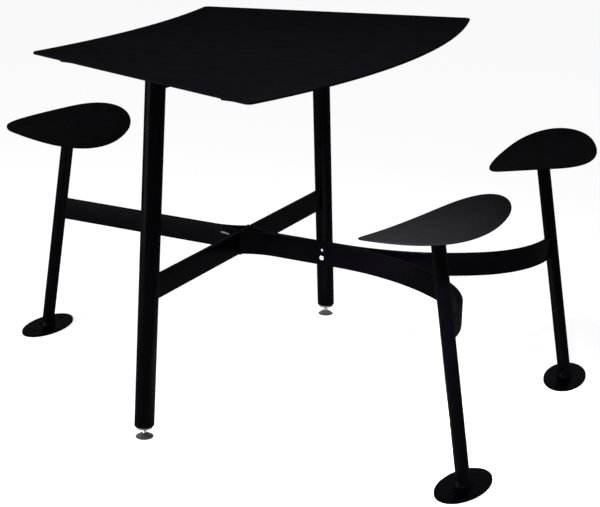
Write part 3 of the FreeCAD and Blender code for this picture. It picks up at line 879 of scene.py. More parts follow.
class Workshop:
    """Dresses pieces: material, slot, body, and the solids that they stand for."""

    def __init__(self) -> None:
        """Make each finish once."""
        self.materials = {finish: finish.value.make() for finish in Finish}
        self.dressed: list[str] = []

    def dress(
        self, piece: Piece, *solids: str, finish: Finish = Finish.FRAME, body: str = FRAME_BODY
    ) -> None:
        """Give a piece its finish and body, and hide the solids that it stands for.

        Args:
            piece: The piece.
            solids: Names of the solids that it replaces.
            finish: Its finish.
            body: The body that it moves with.
        """
        piece.data.materials.clear()
        piece.data.materials.append(self.materials[finish])
        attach(piece, body)
        if solids:
            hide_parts(*solids)
        self.dressed.append(piece.name)
        LOG.info("%s rides on %s in %s", piece.name, body, finish.value.name)

    def coat_solid(self, node: str, finish: Finish) -> None:
        """Give a solid that shows as it is its finish.

        Args:
            node: Name of the solid.
            finish: Its finish.
        """
        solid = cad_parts[node]
        solid.data.materials.clear()
        solid.data.materials.append(self.materials[finish])
        LOG.info("%s keeps its solid in %s", node, finish.value.name)


# --- Tabletop ------------------------------------------------------------------------------


@dataclass(frozen=True)
class BowedSide:
    """A side of the plate that bows toward +X."""

    centre: Vector
    radius: float
    half_turn: float

    @classmethod
    def over(cls, half_chord: float, rise: float, x: float) -> "BowedSide":
        """The side that rises from a chord across x."""
        radius = (half_chord ** 2 + rise ** 2) / (2 * rise)
        return cls(Vector((x + rise - radius, 0, 0)), radius, math.asin(half_chord / radius))

    @property
    def start(self) -> Vector:
        """Unit vector along the side, from its end at -Y."""
        return Vector((math.sin(self.half_turn), math.cos(self.half_turn), 0))

    def points(self, gap: float, steps: int, way: int = 1) -> Loop:
        """Its points toward +Y, or back where way is -1, with a gap left at both ends."""
        end = way * (self.half_turn - gap / self.radius)
        return arc(self.centre, self.radius, -end, end, steps)


@dataclass
class Tabletop:
    """The wedge-shaped plate and the rails welded under it."""

    half_length: float = 307.0
    left_half_width: float = 347.0
    right_half_width: float = 535.0
    left_hollow: float = 33.0
    right_bow: float = 83.0
    left_steps: int = 40
    right_steps: int = 72
    slant_steps: int = 24
    corner_radius: float = 12.0
    corner_gap: float = 2.2
    rim_round: float = 1.2
    rail_width: float = 40.0
    rail_seam: float = 290.0
    stiffener_offset: float = 230.0
    stiffener_width: float = 30.0
    stiffener_depth: float = 12.0
    stiffener_wall: float = 2.5
    stiffener_bend: float = 3.0
    stiffener_inner_bend: float = 0.6
    stiffener_inset: float = 36.0
    stitch_count: int = 5
    stitch_reach: int = 13
    stitch_radius: float = 1.7
    stitch_drop: float = 0.6

    def outline(self) -> Loop:
        """The plate's outline, counterclockwise, at its top.

        Returns:
            The outline's points.
        """
        x, radius = self.half_length, self.corner_radius
        right = BowedSide.over(self.right_half_width, self.right_bow, x)
        left = BowedSide.over(self.left_half_width, self.left_hollow, -x)
        left_corner = Vector((-x, -self.left_half_width, 0))
        right_corner = Vector((x, -self.right_half_width, 0))
        slant = (right_corner - left_corner).normalized()
        near_right = rounded_corner(right_corner, -slant, right.start, radius)
        near_left = rounded_corner(left_corner, left.start, slant, radius)
        far_right = [MIRROR @ p for p in reversed(near_right)]
        far_left = [MIRROR @ p for p in reversed(near_left)]
        front, rear = (
            [first.lerp(last, i / self.slant_steps) for i in range(1, self.slant_steps)]
            for first, last in ((near_left[-1], near_right[0]), (far_right[-1], far_left[0]))
        )
        gap = self.corner_gap * radius
        bow, hollow = right.points(gap, self.right_steps), left.points(gap, self.left_steps, -1)
        loop = near_left + front + near_right + bow + far_right + rear + far_left + hollow
        return [Vector((p.x, p.y, SIZES.top_height)) for p in loop]

    def half_width_at(self, x: float) -> float:
        """Half the plate's width at a place along its length."""
        share = (x + self.half_length) / (2 * self.half_length)
        return self.left_half_width + share * (self.right_half_width - self.left_half_width)

    def channel(self, x: float, half: float) -> list[Loop]:
        """Loops of a stiffener, a pressed channel along Y with its open side up.

        Args:
            x: Its place.
            half: Half its length.

        Returns:
            The loops.
        """
        wall, outer = self.stiffener_wall, self.stiffener_bend
        inner = max(outer - wall, self.stiffener_inner_bend)
        top, base = SIZES.under_top, SIZES.under_top - self.stiffener_depth
        left, right = x - self.stiffener_width / 2, x + self.stiffener_width / 2
        bends = (
            (left + outer, base + outer, outer, math.pi, 1.5 * math.pi, 5),
            (right - outer, base + outer, outer, 1.5 * math.pi, 2 * math.pi, 5),
            (right - wall - inner, base + wall + inner, inner, 0, -QUARTER, 4),
            (left + wall + inner, base + wall + inner, inner, -QUARTER, -math.pi, 4),
        )
        curves = [arc(Vector((across, up, 0)), *bend) for across, up, *bend in bends]
        outside = [(left, top), *((p.x, p.y) for p in curves[0] + curves[1]), (right, top)]
        inside = [(right - wall, top), *((p.x, p.y) for p in curves[2] + curves[3])]
        section = [*outside, *inside, (left + wall, top)]
        return [[Vector((across, y, up)) for across, up in section] for y in (-half, half)]

    def stitches(self, x: float, width: float, half: float) -> list[Piece]:
        """Short weld beads along both sides of a rail.

        Args:
            x: The rail's place.
            width: Its width.
            half: Half the length that is stitched.

        Returns:
            The beads.
        """
        made, level = [], SIZES.under_top - self.stitch_drop
        for side in (x - width / 2, x + width / 2):
            for i in range(self.stitch_count):
                middle = -half + 2 * half * (i + 0.5) / self.stitch_count
                steps = range(-self.stitch_reach, self.stitch_reach + 1)
                path = [Vector((side, middle + step, level)) for step in steps]
                made.append(bead("stitch", path, self.stitch_radius, closed=False))
        return made

    def build(self, shop: Workshop) -> None:
        """Build and dress the tabletop and its rails.

        Args:
            shop: Where pieces are dressed.
        """
        loops = plate_loops(self.outline(), SIZES.top_thick, self.rim_round, self.rim_round)
        shop.dress(skin("tabletop_plate", loops), "tabletop", finish=Finish.TOP)
        stitches = []
        for label, x in (("left", -self.stiffener_offset), ("right", self.stiffener_offset)):
            half = self.half_width_at(x) - self.stiffener_inset
            rail = skin(f"{label}_stiffener_channel", self.channel(x, half))
            shop.dress(rail, f"{label}_stiffener")
            stitches += self.stitches(x, self.stiffener_width, half)
        stitches += self.stitches(0.0, self.rail_width, self.rail_seam)
        shop.dress(join("rail_weld_stitches", stitches))
        shop.coat_solid("centre_rail", Finish.FRAME)


# --- Round tubes ---------------------------------------------------------------------------


@dataclass(frozen=True)
class RoundTube:
    """A straight round tube along a leaning axis, in the plan from the legs' plane."""

    base: Vector
    along: Vector
    dia: float
    wall: float

    @property
    def outer(self) -> float:
        """Its outside radius."""
        return self.dia / 2

    @property
    def inner(self) -> float:
        """Its inside radius."""
        return self.dia / 2 - self.wall

    def around(self, radius: float, distance: float) -> Loop:
        """A loop square to the axis.

        Args:
            radius: Its radius.
            distance: How far up the axis it lies.

        Returns:
            The loop.
        """
        turn = UP.rotation_difference(self.along).to_matrix()
        middle = self.base + self.along * distance
        return [middle + turn @ point for point in circle(radius)]

    def level(self, radius: float, z: float) -> Loop:
        """A loop where a horizontal cut at z meets a radius of the tube."""
        loop = self.around(radius, 0.0)
        return [p + self.along * ((z - p.z) / self.along.z) for p in loop]

    def hit(self, point: Vector, heading: Vector) -> Vector:
        """Where a line first meets the tube's outside.

        Args:
            point: A point outside the tube.
            heading: The line's direction.

        Returns:
            The point on the tube.
        """
        away = point - self.base
        flat_away = away - self.along * away.dot(self.along)
        flat_heading = heading - self.along * heading.dot(self.along)
        a = flat_heading.length_squared
        b = flat_away.dot(flat_heading)
        c = flat_away.length_squared - (self.dia / 2) ** 2
        return point + heading * ((-b - math.sqrt(max(b * b - a * c, 0.0))) / a)


def leg_tube(side: Side) -> RoundTube:
    """The tube of one leg.

    Args:
        side: Which leg it is.

    Returns:
        The tube.
    """
    base = side.turn @ Vector((0, -SIZES.leg_foot_y, 0))
    lean = Vector((0, math.sin(SIZES.leg_lean), math.cos(SIZES.leg_lean)))
    return RoundTube(base, side.turn.to_3x3() @ lean, SIZES.leg_dia, SIZES.leg_wall)


def post_tube(station: Station) -> RoundTube:
    """The tube of one seat post."""
    along = station.leaning.to_3x3() @ UP
    return RoundTube(station.foot.translation, along, SIZES.post_dia, SIZES.post_wall)


# --- Legs and glides -----------------------------------------------------------------------


@dataclass
class Leg:
    """One leg: tube, top plate with studs and nuts, end plug, and its leveling glide."""

    side: Side
    weld: float = 2.1
    weld_out: float = 0.6
    weld_drop: float = 0.8
    weld_step: float = 1.0
    plate_length: float = 110.0
    plate_width: float = 70.0
    plate_corner: float = 8.0
    plate_hole: float = 9.0
    plate_rims: tuple[float, float, float] = (0.5, 0.8, 0.8)
    stud_x: float = 42.0
    stud_y: float = 22.0
    stud_length: float = 14.0
    stud: Thread = Thread(8.0, 1.25, 0.45)
    nut: Nut = Nut(13.0, 6.5, 8.0)
    plug_lip: float = 5.0
    plug_depth: float = 12.0
    plug_play: float = 0.1
    stem: Thread = Thread(8.0, 1.25, 0.45)
    stem_play: float = 0.2
    stem_length: float = 46.0
    stem_seat: float = 4.0
    pad_height: float = 9.5
    pad_dia: float = 37.0
    pad_neck: float = 11.0
    pad_rim: float = 1.2
    pad_sharp: float = 40.0

    def _under(self, level: float) -> Matrix:
        """Upright frame on the floor, under the place where the leg's axis passes a level."""
        y = SIZES.leg_foot_y - math.tan(SIZES.leg_lean) * level
        return self.side.turn @ shift(0.0, -y)

    def _stud_frames(self) -> list[Matrix]:
        """Upright frames of the plate's four studs."""
        offsets = [(x * self.stud_x, y * self.stud_y) for x in (-1, 1) for y in (-1, 1)]
        return [self._under(SIZES.under_top) @ shift(*offset) for offset in offsets]

    def build_tube(self, shop: Workshop) -> None:
        """Build the tube and the bead that joins it to its plate.

        Args:
            shop: Where pieces are dressed.
        """
        tube, label = leg_tube(self.side), self.side.label
        bottom, top, cut = SIZES.leg_bottom, SIZES.leg_top, SIZES.tube_chamfer
        # Up the outside from a broken edge at the foot, and down the inside.
        rows = (
            (tube.outer - cut, bottom), (tube.outer, bottom + cut),
            (tube.outer, bottom + SIZES.tube_strip), (tube.outer, top),
            (tube.inner, top), (tube.inner, bottom),
        )
        loops = [tube.level(radius, z) for radius, z in rows]
        shop.dress(skin(f"{label}_leg_tube", loops, closed=True), f"{label}_leg")
        round_top = tube.level(tube.outer + self.weld_out, top - self.weld_drop)
        seam = spread_evenly(round_top, self.weld_step)
        shop.dress(bead(f"{label}_leg_weld", seam, self.weld))

    def build_plate(self, shop: Workshop) -> None:
        """Build the bolted plate at the leg's top.

        Args:
            shop: Where pieces are dressed.
        """
        label, radius, through = self.side.label, self.plate_hole / 2, 2.0
        outline = rounded_box(
            self.plate_length / 2, self.plate_width / 2, self.plate_corner, CORNER_STEPS,
            SIZES.under_top,
        )
        loops = plate_loops(outline, SIZES.leg_plate_thick, *self.plate_rims)
        plate = skin(f"{label}_leg_top_plate", loops, self._under(SIZES.under_top))
        levels = (SIZES.leg_top - through, SIZES.under_top + through)
        bore = [circle(radius, z, PIN_POINTS) for z in levels]
        carve(plate, [skin("hole", bore, place) for place in self._stud_frames()])
        shop.dress(plate, f"{label}_leg_plate")

    def fasteners(self) -> tuple[list[Piece], list[Piece]]:
        """Build the studs and nuts that hold this leg's plate.

        Returns:
            The studs, and the nuts.
        """
        shank = self.stud.loops(SIZES.under_top - self.stud_length, SIZES.under_top)
        places = self._stud_frames()
        studs = [skin("stud", shank, place) for place in places]
        lift = shift(z=SIZES.leg_top - self.nut.thick)
        nuts = [skin("nut", self.nut.loops(), place @ lift, closed=True) for place in places]
        return studs, nuts

    def build_plug(self, shop: Workshop) -> None:
        """Build the plug that closes the leg and carries the glide's stem.

        Args:
            shop: Where pieces are dressed.
        """
        tube, label = leg_tube(self.side), self.side.label
        core, hole = tube.inner - self.plug_play, self.stem.dia / 2 + self.stem_play
        bottom = SIZES.leg_bottom
        face, top = bottom - self.plug_lip, bottom + self.plug_depth
        # How far inside the core's radius, and the level: the lip's rounded face, then the core.
        rows = (
            (3.0, face), (0.9, face), (0.3, face + 0.2), (0.0, face + 0.8), (0.0, bottom),
            (0.2, top),
        )
        middle = self._under(bottom).translation
        loops = [tube.level(core - inward, z) for inward, z in rows]
        loops += [[p + middle for p in circle(hole, z)] for z in (top, face)]
        plug = skin(f"{label}_leg_end_plug", loops, closed=True)
        shop.dress(plug, f"{label}_leg_plug", finish=Finish.PLUG)

    def build_glide(self, shop: Workshop) -> None:
        """Build the threaded stem and the pad under the leg.

        Args:
            shop: Where pieces are dressed.
        """
        label, upright = self.side.label, self._under(SIZES.leg_bottom)
        body = f"{label}_glide"
        start = self.pad_height - self.stem_seat
        shank = self.stem.loops(start, start + self.stem_length)
        stem = skin(f"{label}_glide_screw_stem", shank, upright)
        shop.dress(stem, f"{label}_glide_stem", finish=Finish.ZINC, body=body)

        wide, neck, high, low = self.pad_dia / 2, self.pad_neck / 2, self.pad_height, self.pad_rim
        thin = self.stem.dia / 2
        # From the stem's seat out over the neck and the cone, round the rim and back underneath.
        profile = [
            (0.4, start), (thin, start), (thin, high - 0.3), (thin + 0.3, high),
            (neck - 0.5, high), (neck - 0.1, high - 0.12), (neck + 0.2, high - 0.4),
            (neck + 0.33 * (wide - neck), low + 0.66 * (high - low)),
            (neck + 0.66 * (wide - neck), low + 0.33 * (high - low)),
            (wide - 0.6, low + 0.25), (wide - 0.1, low), (wide, low - 0.3),
            (wide, 0.5), (wide - 0.2, 0.12), (wide - 0.7, 0.0), (wide - 3.0, 0.0), (0.4, 0.0),
        ]
        loops = revolve(profile, PAD_POINTS)
        pad = skin(f"{label}_glide_foot_pad", loops, upright, sharp=self.pad_sharp)
        shop.dress(pad, f"{label}_glide_pad", finish=Finish.PAD, body=body)

    def build(self, shop: Workshop) -> tuple[list[Piece], list[Piece]]:
        """Build the whole leg.

        Args:
            shop: Where pieces are dressed.

        Returns:
            Its studs and nuts, which are joined with the other leg's.
        """
        self.build_tube(shop)
        self.build_plate(shop)
        self.build_plug(shop)
        self.build_glide(shop)
        return self.fasteners()


def build_legs(shop: Workshop) -> None:
    """Build both legs and the fasteners that they share nodes for.

    Args:
        shop: Where pieces are dressed.
    """
    studs, nuts = [], []
    for side in Side:
        more_studs, more_nuts = Leg(side).build(shop)
        studs += more_studs
        nuts += more_nuts
    shop.dress(join("top_weld_studs", studs), "table_studs", finish=Finish.ZINC)
    shop.dress(join("top_stud_nuts", nuts), "stud_nuts", finish=Finish.ZINC)


# --- Flat bars -----------------------------------------------------------------------------


@dataclass(frozen=True)
class Stop:
    """A point of a bar's centre line, and which way the line runs there."""

    point: Vector
    heading: Vector


def stops_on_arc(centre: Vector, radius: float, start: float, end: float, steps: int) -> list[Stop]:
    """Stops along an arc of a bar's centre line.

    Args:
        centre: The arc's centre.
        radius: Its radius.
        start: Angle of the first stop.
        end: Angle of the last stop.
        steps: How many steps it has.

    Returns:
        The stops.
    """
    way = math.copysign(1.0, end - start)
    stops = []
    for i in range(steps + 1):
        turn = start + (end - start) * i / steps
        out = Vector((math.cos(turn), math.sin(turn), 0))
        stops.append(Stop(centre + radius * out, way * Vector((-out.y, out.x, 0))))
    return stops


def to_plane_x(x: float) -> Trim:
    """A trim that ends a bar on a plane across X."""
    return lambda point, heading: point + heading * ((x - point.x) / heading.x)


def as_cut(point: Vector, heading: Vector) -> Vector:
    """A trim that leaves a bar's end as it is."""
    return point


@dataclass
class FlatBar:
    """A flat bar on edge, swept along a centre line, with rounded edges and coped ends."""

    thick: float
    edge_round: float = 1.1
    edge_steps: int = 4
    strip: float = 3.0

    def section(self) -> list[tuple[float, float]]:
        """Offsets of the section's points, sideways and up.

        Returns:
            The offsets, in order round the section.
        """
        across, up, radius = self.thick / 2, SIZES.arm_height / 2, self.edge_round
        points = [(p.x, p.y) for p in rounded_box(across, up, radius, self.edge_steps)]
        upper, inner = 2 * (self.edge_steps + 1), up - self.strip * radius
        return [(across, inner), *points[:upper], (-across, -inner), *points[upper:]]

    def loop(self, stop: Stop) -> Loop:
        """The section at a stop.

        Args:
            stop: The place on the centre line.

        Returns:
            The section's points.
        """
        sideways = Vector((-stop.heading.y, stop.heading.x, 0))
        level = Vector((0, 0, SIZES.arm_level))
        return [stop.point + level + sideways * a + Vector((0, 0, b)) for a, b in self.section()]

    def loops(self, stops: Sequence[Stop], first: Trim, last: Trim) -> list[Loop]:
        """All sections, with the end ones carried on to what they meet.

        Args:
            stops: The centre line.
            first: Carries a point of the first section along a heading to its seat.
            last: The same for the last section.

        Returns:
            The loops.
        """
        loops = [self.loop(stop) for stop in stops]
        loops[0] = [first(p, -stops[0].heading) for p in loops[0]]
        loops[-1] = [last(p, stops[-1].heading) for p in loops[-1]]
        return loops


@dataclass
class Arms:
    """The bar between the legs and the bars from it out to the posts."""

    leg_bar_ys: tuple[float, ...] = (-340.0, -330.0, 330.0, 340.0)
    left_arm_xs: tuple[float, ...] = (-480.0, -470.0, -90.0)
    flare_reach: float = 80.0
    flare_radius: float = 140.0
    flare_steps: int = 24
    short_flare_steps: int = 32
    bend_reach: float = 382.0
    bend_turn: float = math.radians(38.5)
    bend_run: float = 23.0
    bend_steps: int = 40
    weld: float = 1.9
    weld_step: float = 1.3
    weld_proud: float = 0.35
    bolt_x: float = 198.0
    bolt_drop: float = 8.0
    bolt: SocketScrew = SocketScrew(6.0, 10.5, 3.3, 4.0, 2.0)
    bolt_tail: float = 1.5
    nut: Nut = Nut(10.0, 5.0, 6.0)
    pin_rise: float = 9.0
    pin_dia: float = 5.0
    pin_proud: float = 0.6
    tag_thick: float = 0.8
    tag_height: float = 4.0
    tag_rise: float = 10.5
    tag_start: float = math.radians(9.5)
    tag_turn: float = math.radians(11.0)
    tag_steps: int = 12
    tag_blunt: float = 0.8

    @property
    def flare_turn(self) -> float:
        """How far a flare turns before its centre line meets the leg bar's face."""
        return math.asin((self.flare_reach - SIZES.leg_bar_thick / 2) / self.flare_radius)

    def seam(self, loop: Loop) -> Piece:
        """A bead round the end of a bar.

        Args:
            loop: The bar's end loop.

        Returns:
            The bead.
        """
        middle = sum(loop, Vector()) / len(loop)
        wider = [p + self.weld_proud * (p - middle).normalized() for p in loop]
        return bead("seam", spread_evenly(wider, self.weld_step), self.weld)

    def _flare_centre(self, way: int) -> Vector:
        """Centre of a left flare's arc, for the flare to the rear or, with -1, to the front."""
        return Vector((-self.flare_reach, way * self.flare_radius, 0))

    def _flare(self, way: int, steps: int) -> list[Stop]:
        """Centre line of a left flare, to the rear or, with -1, to the front."""
        start, end = -way * QUARTER, way * (self.flare_turn - QUARTER)
        return stops_on_arc(self._flare_centre(way), self.flare_radius, start, end, steps)

    def build_leg_bar(self, shop: Workshop) -> None:
        """Build the bar between the legs.

        Args:
            shop: Where pieces are dressed.
        """
        ahead = Vector((0, 1, 0))
        stops = [Stop(Vector((0, y, 0)), ahead) for y in self.leg_bar_ys]
        front, rear = (leg_tube(side).hit for side in Side)
        loops = FlatBar(SIZES.leg_bar_thick).loops(stops, front, rear)
        shop.dress(skin("leg_cross_bar", loops), "lower_leg_bar")
        shop.dress(join("leg_bar_welds", [self.seam(loops[0]), self.seam(loops[-1])]))

    def build_left_arm(self, shop: Workshop) -> None:
        """Build the arm to the single seat and its short flare to the front.

        Args:
            shop: Where pieces are dressed.
        """
        bar, face = FlatBar(SIZES.arm_thick), to_plane_x(-SIZES.leg_bar_thick / 2)
        ahead = Vector((1, 0, 0))
        stops = [Stop(Vector((x, 0, 0)), ahead) for x in self.left_arm_xs]
        stops += self._flare(1, self.flare_steps)
        loops = bar.loops(stops, post_tube(Station.LEFT).hit, face)
        shop.dress(skin("left_seat_arm", loops), "left_arm")
        seams = [self.seam(loops[0]), self.seam(loops[-1])]

        loops = bar.loops(self._flare(-1, self.short_flare_steps)[1:], as_cut, face)
        for loop in loops:
            for point in loop:
                point.y = min(point.y, -SIZES.arm_thick / 2)
        shop.dress(skin("left_arm_front_flare", loops), "left_arm_flare")
        seams.append(self.seam(loops[-1]))
        shop.dress(join("left_arm_welds", seams))

    def build_tag(self, shop: Workshop) -> None:
        """Build the small blank tag on the short flare.

        Args:
            shop: Where pieces are dressed.
        """
        start = QUARTER - self.tag_start
        back = self.flare_radius - SIZES.arm_thick / 2
        face = back - self.tag_thick
        middle = self._flare_centre(-1) + Vector((0, 0, SIZES.arm_level + self.tag_rise))
        loops = []
        # Each loop runs over the tag's rounded face, from one back edge to the other.
        for i in range(self.tag_steps + 1):
            turn = start - self.tag_turn * i / self.tag_steps
            out = Vector((math.cos(turn), math.sin(turn), 0))
            high = self.tag_height / 2 - (self.tag_blunt if i in (0, self.tag_steps) else 0.0)
            rows = ((back, high), (face + 0.15, high), (face, high - 0.2),
                    (face, 0.2 - high), (face + 0.15, -high), (back, -high))
            loops.append([middle + out * r + Vector((0, 0, z)) for r, z in rows])
        shop.dress(skin("arm_blank_tag", loops), "blank_tag", finish=Finish.TAG)

    def right_line(self) -> list[Stop]:
        """Centre line of the front one of the two right arms, from the leg bar to its post.

        Returns:
            The stops.
        """
        y = -SIZES.arm_thick / 2
        step = math.tan(SIZES.post_lean) * (SIZES.arm_level - SIZES.plate_thick)
        lean_turn = math.radians(SIZES.pair_turn)
        end_x = SIZES.right_post_x - step * math.cos(lean_turn)
        end_y = SIZES.right_post_y - step * math.sin(lean_turn)
        flare_centre = Vector((self.flare_reach, y - self.flare_radius, 0))
        flare = (self.flare_radius, QUARTER + self.flare_turn, QUARTER, self.flare_steps)
        stops = stops_on_arc(flare_centre, *flare)
        turn, reach = self.bend_turn, self.bend_reach
        sideways = end_y + y - self.bend_run
        share = math.sin(turn) + math.cos(turn) - 1
        wide = (reach * math.cos(turn) - sideways * (1 - math.sin(turn))) / share
        tight = (sideways * math.sin(turn) - reach * (1 - math.cos(turn))) / share
        outer = Vector((end_x - reach, y - wide, 0))
        stops += stops_on_arc(outer, wide, QUARTER, QUARTER - turn, self.bend_steps)
        inner = Vector((end_x - tight, self.bend_run - end_y, 0))
        stops += stops_on_arc(inner, tight, QUARTER - turn, 0.0, self.bend_steps)[1:]
        stops.append(Stop(Vector((end_x, SIZES.post_dia - end_y, 0)), Vector((0, -1, 0))))
        return stops

    def build_right_arms(self, shop: Workshop) -> None:
        """Build the pair of arms to the two right seats.

        Args:
            shop: Where pieces are dressed.
        """
        face, post = to_plane_x(SIZES.leg_bar_thick / 2), post_tube(Station.FRONT).hit
        front_loops = FlatBar(SIZES.arm_thick).loops(self.right_line(), face, post)
        for label, place in (("front", UNMOVED), ("rear", MIRROR)):
            loops = [[place @ point for point in loop] for loop in front_loops]
            shop.dress(skin(f"{label}_seat_arm", loops), f"{label}_arm")
            seams = [self.seam(loops[0]), self.seam(loops[-1])]
            shop.dress(join(f"{label}_arm_welds", seams))

    def build_fasteners(self, shop: Workshop) -> None:
        """Build the bolt, nut and pin that hold the pair of arms together.

        Args:
            shop: Where pieces are dressed.
        """
        thick, across = SIZES.arm_thick, spin(-QUARTER, "X")
        bolt_at = shift(self.bolt_x, 0.0, SIZES.arm_level - self.bolt_drop) @ across
        length = 2 * thick + self.nut.thick + self.bolt_tail
        bolt = skin("arm_socket_bolt", self.bolt.loops(length), bolt_at @ shift(z=-thick))
        shop.dress(bolt, "arm_bolt", finish=Finish.STAINLESS)
        nut = skin("arm_bolt_nut", self.nut.loops(), bolt_at @ shift(z=thick), closed=True)
        shop.dress(nut, "arm_nut", finish=Finish.STAINLESS)

        pin_at = shift(self.bolt_x, 0.0, SIZES.arm_level + self.pin_rise) @ across
        reach, r = thick + self.pin_proud, self.pin_dia / 2
        profile = [(0.2, -reach), (r - 0.5, -reach), (r - 0.12, -reach + 0.15), (r, -reach + 0.5)]
        profile += [(radius, -z) for radius, z in reversed(profile)]
        pin = skin("arm_dowel_pin", revolve(profile, PIN_POINTS), pin_at)
        shop.dress(pin, "arm_pin", finish=Finish.STAINLESS)

    def build(self, shop: Workshop) -> None:
        """Build every bar and its fasteners.

        Args:
            shop: Where pieces are dressed.
        """
        self.build_leg_bar(shop)
        self.build_left_arm(shop)
        self.build_tag(shop)
        self.build_right_arms(shop)
        self.build_fasteners(shop)


# --- Posts ---------------------------------------------------------------------------------


@dataclass
class Post:
    """One seat post: tube, trumpet collar and oval floor plate."""

    station: Station
    plate_length: float = 168.0
    plate_width: float = 92.0
    plate_points: int = 144
    plate_rims: tuple[float, float, float] = (1.8, 0.6, 1.2)
    anchor_spacing: float = 105.0
    anchor_hole: float = 10.0
    collar_dia: float = 40.0
    collar_height: float = 18.0
    collar_lip: float = 0.5
    collar_play: float = 0.05
    collar_steps: int = 14

    def build_tube(self, shop: Workshop) -> None:
        """Build the tube.

        Args:
            shop: Where pieces are dressed.
        """
        tube, label = post_tube(self.station), self.station.label
        length = SIZES.post_rise / math.cos(SIZES.post_lean) + SIZES.post_end
        floor, cut, inner_cut = SIZES.plate_thick, SIZES.tube_chamfer, 0.4
        rows = (
            (tube.outer, length - SIZES.tube_strip), (tube.outer, length - cut),
            (tube.outer - cut, length), (tube.inner + inner_cut, length),
            (tube.inner, length - inner_cut),
        )
        loops = [tube.around(radius, distance) for radius, distance in rows]
        loops = [tube.level(tube.outer, floor), *loops, tube.level(tube.inner, floor)]
        shop.dress(skin(f"{label}_post_tube", loops, closed=True), f"{label}_post")

    def build_collar(self, shop: Workshop) -> None:
        """Build the trumpet that spreads the post's foot onto its plate.

        Args:
            shop: Where pieces are dressed.
        """
        tube, label = post_tube(self.station), self.station.label
        spread = self.collar_dia / 2 - tube.outer - self.collar_lip
        sweep = (spread ** 2 + self.collar_height ** 2) / (2 * spread)
        loops = []
        for i in range(self.collar_steps + 1):
            height = self.collar_height * i / self.collar_steps
            out = sweep - math.sqrt(sweep ** 2 - (self.collar_height - height) ** 2)
            radius = tube.outer + self.collar_lip + out
            heading = UP.lerp(tube.along, i / self.collar_steps)
            turned = UP.rotation_difference(heading).to_matrix()
            middle = tube.base + tube.along * height
            loops.append([middle + turned @ p for p in circle(radius)])
        rim = self.collar_height + self.collar_lip
        loops.append(tube.around(tube.outer + self.collar_play, rim))
        loops.append(tube.level(tube.outer, tube.base.z))
        collar = skin(f"{label}_post_foot_collar", loops, closed=True)
        shop.dress(collar, f"{label}_post_collar")

    def build_plate(self, shop: Workshop) -> None:
        """Build the oval floor plate with its two anchor holes.

        Args:
            shop: Where pieces are dressed.
        """
        label, foot = self.station.label, self.station.foot
        outline = []
        for i in range(self.plate_points):
            turn = 2 * math.pi * i / self.plate_points
            x, y = math.cos(turn) * self.plate_width / 2, math.sin(turn) * self.plate_length / 2
            outline.append(Vector((x, y, 0)))
        loops = plate_loops(outline, SIZES.plate_thick, *self.plate_rims)
        plate = skin(f"{label}_oval_floor_plate", loops, foot)
        r = self.anchor_hole / 2
        # Straight through, with a small countersink at the top.
        bore = [(r, -2 * SIZES.plate_thick), (r, -0.6), (r + 0.6, 0.0), (r + 1.6, 1.0)]
        holes = [
            skin("hole", revolve(bore, SCREW_POINTS), foot @ shift(y=y))
            for y in (-self.anchor_spacing / 2, self.anchor_spacing / 2)
        ]
        carve(plate, holes)
        shop.dress(plate, f"{label}_base_plate")

    def build(self, shop: Workshop) -> None:
        """Build the whole post.

        Args:
            shop: Where pieces are dressed.
        """
        self.build_tube(shop)
        self.build_collar(shop)
        self.build_plate(shop)
        for part in ("upper_bush", "lower_bush", "thrust_washer"):
            shop.coat_solid(f"{self.station.label}_{part}", Finish.BUSH)


# --- Seats ---------------------------------------------------------------------------------


